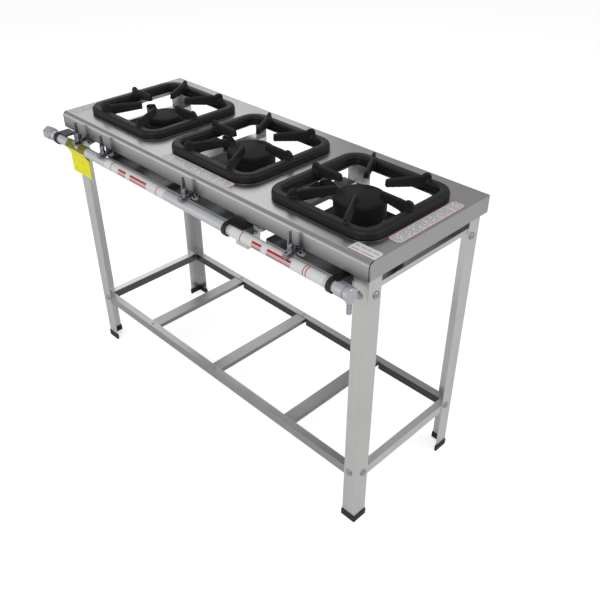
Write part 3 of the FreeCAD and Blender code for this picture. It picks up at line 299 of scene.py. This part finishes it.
# Sheet steel with a ground finish and faint handling marks
def brushedSteel(name, look):
    material, tree, shader = newMaterial(name, Metallic=look["metallic"])
    place = objectCoordinates(tree)
    lines = useGroup(tree, brushedLines, place, Stretch=look["stretch"], Strength=look["lines"])
    marks = useGroup(tree, smudges, place, Size=look["markSize"], Amount=look["marks"])
    both = add(tree, "ShaderNodeMath", [(0, lines.outputs[0]), (1, marks.outputs[0])], operation="ADD")
    colour = colourMix(tree, both.outputs[0], look["colour"], look["marked"])
    # Painted shade, darker low down on one side, where the look asks for it
    if "shade" in look:
        shaded = useGroup(tree, lowShade, place, **look["shade"])
        tree.links.new(colour, shaded.inputs["Colour"])
        colour = shaded.outputs["Colour"]
    tree.links.new(colour, shader.inputs["Base Color"])
    tree.links.new(between(tree, marks.outputs[0], *look["rough"]), shader.inputs["Roughness"])
    bump(tree, shader, lines.outputs[0], look["bump"], bumpDepth["steel"])
    return material


# Castings, paint, plastic and plated metal: a grain all over and worn patches
def grained(name, look, depth, roughBy):
    material, tree, shader = newMaterial(name, Metallic=look["metallic"], Specular_IOR_Level=look["gloss"])
    place = objectCoordinates(tree)
    grain = useGroup(tree, castGrain, place, Size=look["grain"])
    marks = useGroup(tree, smudges, place, Size=look["markSize"], Amount=look["marks"])
    masks = {"grain": grain.outputs["Mask"], "marks": marks.outputs[0]}
    colour = colourMix(tree, marks.outputs[0], look["colour"], look["worn"])
    tree.links.new(colour, shader.inputs["Base Color"])
    tree.links.new(between(tree, masks[roughBy], *look["rough"]), shader.inputs["Roughness"])
    bump(tree, shader, grain.outputs["Height"], look["bump"], depth)
    return material


def castMetal(name, look):
    return grained(name, look, bumpDepth["iron"], "grain")


def coated(name, look):
    return grained(name, look, bumpDepth["coat"], "marks")


# Painted shade low on the plate's front and inside two of the shelf rails: their colour is darkened there
frontSide, rightSide = (0, -1, 0), (1, 0, 0)
plateShade = {
    "Low": plateTop - 0.040, "High": plateTop - 0.012, "Darkness": 0.55,
    "Side": frontSide, "Limit": -(plateLow.y + 0.004),
}
plateLook = {
    "colour": (0.47, 0.475, 0.47), "marked": (0.36, 0.365, 0.36), "metallic": 1.0, "stretch": (4, 900, 900),
    "lines": 0.75, "markSize": 5.0, "marks": 0.30, "rough": (0.28, 0.42), "bump": 0.14, "shade": plateShade,
}
frameLook = {
    "colour": (0.68, 0.68, 0.67), "marked": (0.55, 0.55, 0.54), "metallic": 1.0, "stretch": (700, 700, 5),
    "lines": 0.6, "markSize": 9.0, "marks": 0.30, "rough": (0.28, 0.42), "bump": 0.12,
}
barLook = dict(frameLook, colour=(0.34, 0.34, 0.33), marked=(0.27, 0.27, 0.26), stretch=(700, 5, 700))
railLook = dict(frameLook, colour=(0.42, 0.42, 0.41), marked=(0.33, 0.33, 0.32), stretch=(5, 700, 700))
railLow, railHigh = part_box("rear_shelf_rail")
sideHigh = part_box("left_shelf_rail")[1]
# Heights, lip depth and darkness of the painted shade inside the shelf rails
railShade = {"sheet": 0.0025, "edge": 0.0018, "lip": 0.0035, "Darkness": 0.78}


def insideShade(top, side, limit):
    return {
        "Low": top - railShade["sheet"], "High": top - railShade["edge"], "Darkness": railShade["Darkness"],
        "Side": side, "Limit": limit,
    }


rearRailLook = dict(railLook, shade=insideShade(railHigh.z, frontSide, -(railLow.y + railShade["lip"])))
crossLook = dict(frameLook, stretch=(700, 5, 700))
leftRailLook = dict(crossLook, shade=insideShade(sideHigh.z, rightSide, sideHigh.x - railShade["lip"]))
trayLook = dict(frameLook, colour=(0.25, 0.26, 0.27), marked=(0.17, 0.175, 0.18),
                stretch=(5, 500, 500), rough=(0.34, 0.48))
grateLook = {
    "colour": (0.0075, 0.0078, 0.0085), "worn": (0.014, 0.0143, 0.015), "metallic": 0.0, "gloss": 0.30,
    "grain": 520.0, "markSize": 18.0, "marks": 0.5, "rough": (0.38, 0.55), "bump": 0.35,
}
drumLook = dict(grateLook, colour=(0.008, 0.008, 0.0083), worn=(0.014, 0.0137, 0.0133),
                rough=(0.50, 0.68), gloss=0.22)
armLook = dict(grateLook, colour=(0.055, 0.055, 0.057), worn=(0.035, 0.035, 0.035),
               metallic=0.5, rough=(0.42, 0.58))
pipeLook = {
    "colour": (0.60, 0.605, 0.64), "worn": (0.50, 0.505, 0.54), "metallic": 0.3, "grain": 900.0,
    "markSize": 16.0, "marks": 0.35, "rough": (0.34, 0.48), "bump": 0.06, "gloss": 0.5,
}
elbowLook = dict(pipeLook, colour=(0.56, 0.565, 0.61), worn=(0.44, 0.445, 0.49), metallic=0.6)
chromeLook = dict(pipeLook, colour=(0.28, 0.285, 0.32), worn=(0.20, 0.205, 0.23),
                  metallic=1.0, rough=(0.14, 0.26), bump=0.03)
zincLook = dict(chromeLook, colour=(0.42, 0.42, 0.42), worn=(0.30, 0.30, 0.295),
                rough=(0.28, 0.42), bump=0.06)
clampLook = {
    "colour": (0.007, 0.007, 0.0075), "worn": (0.014, 0.014, 0.014), "metallic": 0.0, "grain": 800.0,
    "markSize": 24.0, "marks": 0.4, "rough": (0.38, 0.52), "bump": 0.08, "gloss": 0.45,
}
footLook = dict(clampLook, rough=(0.5, 0.62), grain=1100.0, bump=0.12)
tagLook = {
    "colour": (0.93, 0.87, 0.004), "worn": (0.68, 0.63, 0.003), "metallic": 0.0, "grain": 260.0,
    "markSize": 60.0, "marks": 0.55, "rough": (0.42, 0.55), "bump": 0.25, "gloss": 0.3,
}
wrapLook = dict(tagLook, colour=(0.26, 0.24, 0.01), worn=(0.05, 0.046, 0.01), markSize=170.0, marks=0.95)
labelLook = {
    "colour": (0.74, 0.74, 0.735), "worn": (0.64, 0.64, 0.63), "metallic": 0.0, "grain": 700.0,
    "markSize": 40.0, "marks": 0.3, "rough": (0.30, 0.42), "bump": 0.03, "gloss": 0.45,
}
redLook = dict(labelLook, colour=(0.50, 0.006, 0.010), worn=(0.42, 0.01, 0.012))
printLook = dict(labelLook, colour=(0.30, 0.31, 0.33), worn=(0.24, 0.25, 0.27))

plateSteel = brushedSteel("plateSteel", plateLook)
legSteel = brushedSteel("legSteel", frameLook)
barSteel = brushedSteel("barSteel", barLook)
railSteel = brushedSteel("railSteel", railLook)
rearRailSteel = brushedSteel("rearRailSteel", rearRailLook)
crossSteel = brushedSteel("crossSteel", crossLook)
leftRailSteel = brushedSteel("leftRailSteel", leftRailLook)
traySteel = brushedSteel("traySteel", trayLook)
grateIron = castMetal("grateIron", grateLook)
drumIron = castMetal("drumIron", drumLook)
burnerCasting = castMetal("burnerCasting", armLook)
pipePaint = coated("pipePaint", pipeLook)
elbowPaint = coated("elbowPaint", elbowLook)
chromePlate = coated("chromePlate", chromeLook)
zincPlate = coated("zincPlate", zincLook)
clampPaint = coated("clampPaint", clampLook)
footPlastic = coated("footPlastic", footLook)
tagFilm = coated("tagFilm", tagLook)
tagWrap = coated("tagWrap", wrapLook)
labelPaper = coated("labelPaper", labelLook)
labelRed = coated("labelRed", redLook)
labelPrint = coated("labelPrint", printLook)
print("materials made")


# Sheet, tube and turned pieces with their edges eased: finish, bevel width, and the angle that stays sharp
easedParts = {
    "top_plate": (plateSteel, 0.00025),
    "front_left_leg": (legSteel, 0.0004), "front_right_leg": (legSteel, 0.0004),
    "rear_left_leg": (legSteel, 0.0004), "rear_right_leg": (legSteel, 0.0004),
    "front_centre_bracket": (legSteel, 0.0004), "rear_centre_bracket": (legSteel, 0.0004),
    "foot_caps": (footPlastic, 0.0008),
    "front_shelf_rail": (railSteel, 0.0004), "rear_shelf_rail": (rearRailSteel, 0.0004),
    "left_shelf_rail": (leftRailSteel, 0.0004), "right_shelf_rail": (crossSteel, 0.0004),
    "left_shelf_bar": (barSteel, 0.0006), "middle_shelf_bar": (barSteel, 0.0006),
    "right_shelf_bar": (barSteel, 0.0006),
    "left_side_bar": (crossSteel, 0.0006), "left_inner_bar": (crossSteel, 0.0006),
    "right_inner_bar": (crossSteel, 0.0006), "right_side_bar": (crossSteel, 0.0006),
    "corner_brackets": (legSteel, 0.0004), "bar_hangers": (legSteel, 0.0004),
    "tray_bearers": (railSteel, 0.0004),
    "long_drip_tray": (traySteel, 0.0002), "short_drip_tray": (traySteel, 0.0002),
    "frame_bolts": (zincPlate, 0.0005), "frame_nuts": (zincPlate, 0.0004),
    "shelf_screws": (zincPlate, 0.0004),
    "clamp_screws": (zincPlate, 0.0004), "burner_bolts": (zincPlate, 0.0004),
    "right_air_shutter": (zincPlate, 0.0003), "middle_air_shutter": (zincPlate, 0.0003),
    "inner_left_air_shutter": (zincPlate, 0.0003), "outer_left_air_shutter": (zincPlate, 0.0003),
    "gas_pipe": (pipePaint, 0.0005), "pipe_end_cap": (elbowPaint, 0.0009),
    "pipe_elbow": (elbowPaint, 0.0008),
    "hose_tail": (elbowPaint, 0.0002, 18),
    "left_pipe_clamp": (clampPaint, 0.0007), "centre_pipe_clamp": (clampPaint, 0.0007),
    "right_pipe_clamp": (clampPaint, 0.0007),
}


def pieceName(node):
    words = node.split("_")
    return words[0] + "".join(word.title() for word in words[1:])


easing = {"flat": 0.5, "bevelled": 40, "segments": 2, "sharp": 38, "weight": 100}


def easeEdges(node, material, width, turn=easing["sharp"]):
    piece = copyOf(node, pieceName(node))
    edit(piece)
    bpy.ops.mesh.dissolve_limited(angle_limit=math.radians(easing["flat"]))
    done()
    modify(piece, "BEVEL", width=width, segments=easing["segments"], limit_method="ANGLE",
           angle_limit=math.radians(easing["bevelled"]), use_clamp_overlap=True)
    smooth(piece, turn)
    modify(piece, "WEIGHTED_NORMAL", weight=easing["weight"], keep_sharp=True)
    give(piece, material, bodyOf[node], slotOf[node], node)


for node, look in easedParts.items():
    easeEdges(node, *look)
print("eased parts made,", len(easedParts))


# Castings, rounded all over by a fine remesh
castParts = {
    "grate": {"voxel": 0.0013, "passes": 9},
    "burner": {"voxel": 0.0013, "passes": 5},
    "valve": {"voxel": 0.0006, "passes": 2},
}
smoothing = 0.5


def castSkin(node, name, look):
    piece = copyOf(node, name)
    modify(piece, "REMESH", mode="VOXEL", voxel_size=look["voxel"])
    modify(piece, "SMOOTH", factor=smoothing, iterations=look["passes"])
    only(piece)
    bpy.ops.object.shade_smooth()
    return piece


def makeGrates():
    pattern = castSkin("middle_grate", "middleGrate", castParts["grate"])
    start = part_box("middle_grate")[0]
    for side in ("left", "right"):
        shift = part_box(side + "_grate")[0] - start
        copy = twin(pattern, side + "Grate", shift)
        give(copy, grateIron, side + "_grate", "black_cast_iron", side + "_grate")
    give(pattern, grateIron, "middle_grate", "black_cast_iron", "middle_grate")
    print("grates made,", len(pattern.data.polygons), "faces each")


def makeBurners():
    for side in ("left", "middle", "right"):
        piece = castSkin(side + "_burner", side + "Burner", castParts["burner"])
        give(piece, burnerCasting, bodyOf[side + "_burner"], "grey_casting", side + "_burner")
    print("burner castings made")


# Valve bodies and handles: small forgings under chrome
def makeValves():
    for side in ("right", "middle", "inner_left", "outer_left"):
        for node in (side + "_valve", side + "_valve_handle"):
            piece = castSkin(node, pieceName(node), castParts["valve"])
            give(piece, chromePlate, bodyOf[node], "chrome", node)
    print("valves made")


makeGrates()
makeBurners()
makeValves()


# Burner caps, each one closed section spun round its axis. Section points are radius and height.
drumSection = (
    (0.0, 0.0507), (0.012, 0.0499), (0.024, 0.0484), (0.036, 0.0466), (0.048, 0.0447),
    (0.0565, 0.0433), (0.0596, 0.0425), (0.0612, 0.0411), (0.0620, 0.0392), (0.0620, 0.0318),
    (0.0611, 0.0314), (0.0611, 0.0301), (0.0620, 0.0297), (0.0620, 0.0150), (0.0620, 0.0006),
    (0.0614, 0.0), (0.0566, 0.0), (0.0560, 0.0006), (0.0560, 0.0360), (0.0545, 0.0370), (0.0, 0.0447))
innerSection = (
    (0.0, 0.0397), (0.012, 0.0393), (0.024, 0.0384), (0.036, 0.0372), (0.0445, 0.0362),
    (0.0470, 0.0353), (0.0484, 0.0338), (0.0490, 0.0322), (0.0490, 0.0248), (0.0481, 0.0244),
    (0.0481, 0.0231), (0.0490, 0.0227), (0.0490, 0.0006), (0.0484, 0.0), (0.0436, 0.0),
    (0.0430, 0.0006), (0.0430, 0.0290), (0.0415, 0.0300), (0.0, 0.0337))
ringSection = (
    (0.0506, 0.0), (0.0634, 0.0), (0.0640, 0.0006), (0.0640, 0.0060), (0.0640, 0.0108), (0.0632, 0.0124),
    (0.0590, 0.0169), (0.0576, 0.0177), (0.0506, 0.0177), (0.0500, 0.0171), (0.0500, 0.0006))
capParts = {
    "middle_burner_cap": drumSection, "right_burner_cap": drumSection,
    "left_inner_cap": innerSection, "left_ring_cap": ringSection,
}
capSpin = {"steps": 112, "weld": 0.00002, "sharp": 32}


def spunCap(node, section):
    low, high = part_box(node)
    bpy.ops.object.select_all(action="DESELECT")
    bpy.ops.mesh.primitive_circle_add(vertices=len(section), radius=1, fill_type="NOTHING")
    piece = bpy.context.object
    piece.name = piece.data.name = pieceName(node)
    axis = Vector(((low.x + high.x) / 2, (low.y + high.y) / 2, low.z))
    for vertex, (out, up) in zip(piece.data.vertices, section):
        vertex.co = axis + Vector((out, 0, up))
    edit(piece)
    bpy.ops.mesh.spin(steps=capSpin["steps"], angle=math.tau, center=axis, axis=(0, 0, 1))
    bpy.ops.mesh.select_all(action="SELECT")
    bpy.ops.mesh.remove_doubles(threshold=capSpin["weld"])
    bpy.ops.mesh.normals_make_consistent(inside=False)
    done()
    smooth(piece, capSpin["sharp"])
    give(piece, drumIron, bodyOf[node], slotOf[node], node)


for node, section in capParts.items():
    spunCap(node, section)
print("burner caps made")


# Raised lines pressed into the plate round each grate
ridge = {"gap": 0.005, "width": 0.0016, "height": 0.0003, "corner": 0.055, "steps": 14, "sharp": 60}


def roundedPlane(name, low, high, z, corner, steps):
    bpy.ops.object.select_all(action="DESELECT")
    bpy.ops.mesh.primitive_plane_add(size=1, location=((low[0] + high[0]) / 2, (low[1] + high[1]) / 2, z))
    piece = bpy.context.object
    piece.name = piece.data.name = name
    piece.scale = (high[0] - low[0], high[1] - low[1], 1)
    settle(piece)
    edit(piece)
    bpy.ops.mesh.bevel(offset=corner, segments=steps, affect="VERTICES")
    done()
    return piece


def makeRidges():
    for side in ("left", "middle", "right"):
        low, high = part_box(side + "_grate")
        out = ridge["gap"]
        piece = roundedPlane(
            side + "PlateRidge", (low.x - out, low.y - out), (high.x + out, high.y + out), plateTop,
            ridge["corner"], ridge["steps"])
        edit(piece)
        bpy.ops.mesh.inset(thickness=ridge["width"])
        bpy.ops.mesh.delete(type="FACE")
        bpy.ops.mesh.select_all(action="SELECT")
        bpy.ops.mesh.extrude_region_move(TRANSFORM_OT_translate={"value": (0, 0, ridge["height"])})
        bpy.ops.mesh.select_all(action="SELECT")
        bpy.ops.mesh.normals_make_consistent(inside=False)
        done()
        smooth(piece, ridge["sharp"])
        give(piece, plateSteel, "frame", "plate_steel")


makeRidges()
print("plate ridges made")


# Thin dark seams where the front bend meets the side rims. Heights are from the plate's top.
seam = {
    "inset": 0.0018, "wide": 0.0022, "bend": 0.013, "drop": 0.043, "steps": 16, "lift": 0.00012, "sharp": 40,
}


def makeSeam(name, x):
    bpy.ops.object.select_all(action="DESELECT")
    bpy.ops.mesh.primitive_grid_add(x_subdivisions=1, y_subdivisions=seam["steps"], size=1)
    piece = bpy.context.object
    piece.name = piece.data.name = name
    bend, last = seam["bend"], seam["steps"]
    for vertex in piece.data.vertices:
        step = round((vertex.co.y + 0.5) * last)
        swing = math.pi / 2 * min(step, last - 1) / (last - 1)
        y = plateLow.y + bend - (bend + seam["lift"] / 2) * math.sin(swing)
        z = plateTop - bend + (bend + seam["lift"] / 2) * math.cos(swing)
        if step == last:
            z = plateTop - seam["drop"]
        vertex.co = (x + vertex.co.x * seam["wide"], y, z)
    modify(piece, "SOLIDIFY", thickness=seam["lift"], offset=0)
    edit(piece)
    bpy.ops.mesh.normals_make_consistent(inside=False)
    done()
    smooth(piece, seam["sharp"])
    give(piece, drumIron, "frame", "plate_steel")


makeSeam("leftPlateSeam", plateLow.x + seam["inset"])
makeSeam("rightPlateSeam", plateHigh.x - seam["inset"])
print("plate seams made")


# Labels on the plate: a white panel with a red rim, or a red front edge, and plain grey bars.
# Places are from the plate's middle.
plateLabels = {
    "frontPlateLabel": {
        "x": (-0.121, 0.128), "y": (-0.1965, -0.1655), "rows": 4, "across": False, "rim": True},
    "cornerPlateLabel": {
        "x": (0.500, 0.571), "y": (-0.1965, -0.162), "rows": 2, "across": False, "rim": False},
    "rightPlateLabel": {
        "x": (0.533, 0.568), "y": (-0.110, 0.125), "rows": 5, "across": True, "rim": True},
    "leftPlateLabel": {
        "x": (-0.567, -0.537), "y": (-0.190, 0.050), "rows": 4, "across": True, "rim": True},
}
labelSheet = {
    "thick": 0.00012, "rim": 0.0016, "edge": 1.6, "bar": 0.0026, "margin": 0.004, "space": 0.004,
    "corner": 0.2, "cornerSteps": 2, "rowShift": 2,
    "lengths": (0.021, 0.034, 0.012, 0.027, 0.018, 0.040, 0.015),
}
labelMaterials = (labelPaper, labelRed, labelPrint)


def join(parts, name):
    bpy.ops.object.select_all(action="DESELECT")
    for part in parts:
        part.select_set(True)
    bpy.context.view_layer.objects.active = parts[0]
    bpy.ops.object.join()
    piece = bpy.context.object
    piece.name = piece.data.name = name
    return piece


# One sheet or bar of a label, with a place in the label's materials
def dress(piece, index):
    for item in labelMaterials:
        piece.data.materials.append(item)
    for face in piece.data.polygons:
        face.material_index = index
    return piece


def flatBar(low, high, z, thick, index):
    corner = min(high[0] - low[0], high[1] - low[1]) * labelSheet["corner"]
    piece = roundedPlane("bar", low, high, z, corner, labelSheet["cornerSteps"])
    edit(piece)
    bpy.ops.mesh.extrude_region_move(TRANSFORM_OT_translate={"value": (0, 0, thick)})
    done()
    return dress(piece, index)


# Broken grey bars whose lengths follow a fixed rhythm
def barSpans(start, end, row):
    spans = []
    place = start
    lengths, space = labelSheet["lengths"], labelSheet["space"]
    step = row * labelSheet["rowShift"]
    while place < end - space:
        stop = min(end, place + lengths[step % len(lengths)])
        spans.append((place, stop))
        place = stop + space
        step += 1
    return spans


def makePlateLabel(name, look):
    thick, rim, margin, bar = (labelSheet[key] for key in ("thick", "rim", "margin", "bar"))
    panel, ink = thick / 2, thick / 3
    x0, x1 = (middle.x + value for value in look["x"])
    y0, y1 = (middle.y + value for value in look["y"])
    second = plateTop + thick
    if look["rim"]:
        parts = [flatBar((x0, y0), (x1, y1), plateTop, thick, 1),
                 flatBar((x0 + rim, y0 + rim), (x1 - rim, y1 - rim), second, panel, 0)]
    else:
        edge = y0 + rim * labelSheet["edge"]
        parts = [flatBar((x0, y0), (x1, y1), plateTop, thick, 0),
                 flatBar((x0 + margin, y0), (x1 - margin, edge), second, panel, 1)]
    top = second + panel
    wide, long = ((x0, x1), (y0, y1)) if look["across"] else ((y0, y1), (x0, x1))
    gap = (wide[1] - wide[0] - 2 * margin) / look["rows"]
    for row in range(look["rows"]):
        centre = wide[0] + margin + gap * (row + 0.5)
        for start, end in barSpans(long[0] + margin, long[1] - margin, row):
            low, high = (centre - bar / 2, start), (centre + bar / 2, end)
            if not look["across"]:
                low, high = low[::-1], high[::-1]
            parts.append(flatBar(low, high, top, ink, 2))
    piece = join(parts, name)
    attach(piece, "frame")


for name, look in plateLabels.items():
    makePlateLabel(name, look)
print("plate labels made")


# Labels wrapped on the front of the gas pipe. Places are from the plate's middle, turns in degrees.
pipeLabels = {
    "leftPipeLabel": {
        "x": (-0.332, -0.070), "lines": (-0.302, -0.0995), "bars": ((-0.267, -0.2325), (-0.2144, -0.142))},
    "rightPipeLabel": {
        "x": (0.184, 0.478), "lines": (0.221, 0.4205, 0.4285), "bars": ((0.2595, 0.290), (0.309, 0.383))},
}
wrapSheet = {
    "lift": 0.00015, "steps": 18, "barSteps": 4, "lengthSteps": 2, "line": 0.0026, "sharp": 40,
    "turn": (-40, 105), "bars": ((28, 52), (-12, 4)), "mark": (12, 20),
}


def pipePoint(x, turn, lift):
    swing = math.radians(turn)
    reach = pipeRadius + lift
    return Vector((x, pipeAxis.y - reach * math.cos(swing), pipeAxis.z + reach * math.sin(swing)))


def curvedPatch(name, x0, x1, turn0, turn1, lift, steps):
    bpy.ops.object.select_all(action="DESELECT")
    bpy.ops.mesh.primitive_grid_add(x_subdivisions=wrapSheet["lengthSteps"], y_subdivisions=steps, size=1)
    piece = bpy.context.object
    piece.name = piece.data.name = name
    for vertex in piece.data.vertices:
        share = vertex.co.y + 0.5
        x = x0 + (vertex.co.x + 0.5) * (x1 - x0)
        vertex.co = pipePoint(x, turn0 + share * (turn1 - turn0), lift)
    modify(piece, "SOLIDIFY", thickness=wrapSheet["lift"], offset=-1 if turn1 < turn0 else 1)
    edit(piece)
    bpy.ops.mesh.normals_make_consistent(inside=False)
    done()
    smooth(piece, wrapSheet["sharp"])
    return piece


def makePipeLabel(name, look):
    low, high = wrapSheet["turn"]
    lift, half, steps = wrapSheet["lift"], wrapSheet["line"] / 2, wrapSheet["steps"]
    few = wrapSheet["barSteps"]
    x0, x1 = (middle.x + value for value in look["x"])
    parts = [dress(curvedPatch("wrap", x0, x1, low, high, 0.0, steps), 0)]
    for at in look["lines"]:
        line = curvedPatch("cross", middle.x + at - half, middle.x + at + half, low, high, lift, steps)
        parts.append(dress(line, 1))
    for start, end in look["bars"]:
        for first, last in wrapSheet["bars"]:
            bar = curvedPatch("stripe", middle.x + start, middle.x + end, first, last, lift, few)
            parts.append(dress(bar, 1))
        mark = curvedPatch("mark", middle.x + start, middle.x + end, *wrapSheet["mark"], lift, few)
        parts.append(dress(mark, 2))
    piece = join(parts, name)
    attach(piece, "frame")


for name, look in pipeLabels.items():
    makePipeLabel(name, look)
print("pipe labels made")


# Yellow tag: film folded over the pipe, slotted round the valve, its two tails hanging together
tag = {
    "thick": 0.0006, "lift": 0.0006, "rows": 60, "columns": 28, "sharp": 45,
    "slot": 0.0092, "slotFoot": 0.45, "cover": 0.0035, "shorter": 0.0005,
    "wave": 0.0010, "ripple": 6.0, "phase": 0.6, "meet": 0.030, "apart": 0.0008,
}


def makeTag():
    low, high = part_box("hang_tag")
    valveLow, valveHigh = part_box("outer_left_valve")
    valveX = (valveLow.x + valveHigh.x) / 2
    wide, drop = high.x - low.x, pipeAxis.z - low.z
    bpy.ops.object.select_all(action="DESELECT")
    bpy.ops.mesh.primitive_grid_add(x_subdivisions=tag["columns"], y_subdivisions=tag["rows"], size=1)
    piece = bpy.context.object
    piece.name = piece.data.name = "hangTag"
    reach = pipeRadius + tag["lift"]
    arc = math.pi * reach
    tail = drop - tag["shorter"]
    for vertex in piece.data.vertices:
        share = vertex.co.y + 0.5
        x = low.x + (vertex.co.x + 0.5) * wide
        along = share * (arc + 2 * tail)
        sway = tag["wave"] * math.sin(vertex.co.x * tag["ripple"] + tag["phase"])
        if tail <= along <= tail + arc:
            swing = (along - tail) / arc * math.pi
            y = pipeAxis.y - reach * math.cos(swing)
            z = pipeAxis.z + reach * math.sin(swing)
        else:
            side = -1 if along < tail else 1
            down = tail - along if along < tail else along - tail - arc
            pinch = min(1, down / tag["meet"])
            pinch = pinch * pinch * (3 - 2 * pinch)
            y = pipeAxis.y + side * (reach * (1 - pinch) + tag["apart"] * pinch) + sway * pinch
            z = pipeAxis.z - down
        vertex.co = (x, y, z)
    edit(piece)
    bpy.ops.mesh.select_all(action="DESELECT")
    done()
    for face in piece.data.polygons:
        near = abs(face.center.x - valveX) < tag["slot"]
        face.select = near and face.center.z > pipeAxis.z + pipeRadius * tag["slotFoot"]
    bpy.ops.object.mode_set(mode="EDIT")
    bpy.ops.mesh.delete(type="FACE")
    done()
    piece.data.materials.append(tagFilm)
    piece.data.materials.append(tagWrap)
    for face in piece.data.polygons:
        face.material_index = int(face.center.z > pipeAxis.z - tag["cover"])
    modify(piece, "SOLIDIFY", thickness=tag["thick"], offset=0)
    edit(piece)
    bpy.ops.mesh.normals_make_consistent(inside=False)
    done()
    smooth(piece, tag["sharp"])
    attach(piece, "frame")
    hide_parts("hang_tag")


makeTag()
print("hang tag made")


# Floor, light and camera. The floor's glow and the brighter sky are for the camera's rays alone.
studio = {
    "floor": (0.90, 0.90, 0.90), "floorSize": 16, "floorRough": 0.9, "floorGloss": 0.1,
    "glow": 0.55, "sky": 1.3, "world": 0.44,
}


def makeStudio():
    bpy.ops.object.select_all(action="DESELECT")
    bpy.ops.mesh.primitive_plane_add(size=studio["floorSize"], location=(0, 0, cadBox[0].z))
    floor = bpy.context.object
    floor.name = "floor"
    rough, gloss = studio["floorRough"], studio["floorGloss"]
    material, tree, shader = newMaterial("floorPaper", Roughness=rough, Specular_IOR_Level=gloss)
    shader.inputs["Base Color"].default_value = (*studio["floor"], 1)
    shader.inputs["Emission Color"].default_value = (1, 1, 1, 1)
    sight = add(tree, "ShaderNodeLightPath")
    lift = add(tree, "ShaderNodeMath", [(0, sight.outputs["Is Camera Ray"])], operation="MULTIPLY")
    lift.inputs[1].default_value = studio["glow"]
    tree.links.new(lift.outputs[0], shader.inputs["Emission Strength"])
    floor.data.materials.append(material)
    world = bpy.data.worlds.new("studioWorld")
    bpy.context.scene.world = world
    world.use_nodes = True
    back = world.node_tree.nodes["Background"]
    back.inputs["Color"].default_value = (1, 1, 1, 1)
    sight = add(world.node_tree, "ShaderNodeLightPath")
    level = between(world.node_tree, sight.outputs["Is Camera Ray"], studio["world"], studio["sky"])
    world.node_tree.links.new(level, back.inputs["Strength"])
    bpy.context.scene.view_settings.view_transform = "Standard"


# Area lights and the places that they point to
lights = {
    "keyLight": {"place": (1.2, -2.6, 3.0), "target": (0, 0, 0.5), "size": (2.4, 1.6), "power": 42},
    "fillLight": {"place": (2.8, 1.0, 2.2), "target": (0, 0, 0.5), "size": (2.0, 2.0), "power": 20},
    "rimLight": {"place": (-2.6, 1.6, 2.6), "target": (0, 0, 0.6), "size": (2.0, 1.6), "power": 10},
    "frontLight": {"place": (-1.7, -2.3, 1.1), "target": (0, -0.2, 0.5), "size": (2.6, 1.4), "power": 10},
}


def makeLight(name, place, target, size, power):
    light = bpy.data.lights.new(name, "AREA")
    light.shape = "RECTANGLE"
    light.size, light.size_y = size
    light.energy = power
    lamp = bpy.data.objects.new(name, light)
    lamp.location = place
    lamp.rotation_euler = (Vector(target) - Vector(place)).to_track_quat("-Z", "Y").to_euler()
    bpy.context.scene.collection.objects.link(lamp)


# The photograph's camera, fitted to the stand's corners, in the plate's own axes
view = {
    "place": (1.3300, -1.1557, 1.5577), "ahead": (-0.5797, 0.5785, -0.5738),
    "up": (-0.4065, 0.4051, 0.8190), "lens": 43.99, "sensor": 36.0, "near": 0.05, "far": 60,
}


def makeCamera():
    data = bpy.data.cameras.new("photoCamera")
    data.sensor_fit = "HORIZONTAL"
    data.sensor_width = view["sensor"]
    data.lens = view["lens"]
    data.clip_start, data.clip_end = view["near"], view["far"]
    camera = bpy.data.objects.new("photoCamera", data)
    back = -Vector(view["ahead"]).normalized()
    up = Vector(view["up"]).normalized()
    right = up.cross(back).normalized()
    up = back.cross(right)
    place = Vector(view["place"]) + Vector((middle.x, middle.y, 0))
    camera.matrix_world = Matrix((
        (right.x, up.x, back.x, place.x), (right.y, up.y, back.y, place.y),
        (right.z, up.z, back.z, place.z), (0, 0, 0, 1)))
    bpy.context.scene.collection.objects.link(camera)
    bpy.context.scene.camera = camera


makeStudio()
for name, look in lights.items():
    makeLight(name, **look)
makeCamera()
print("studio ready")
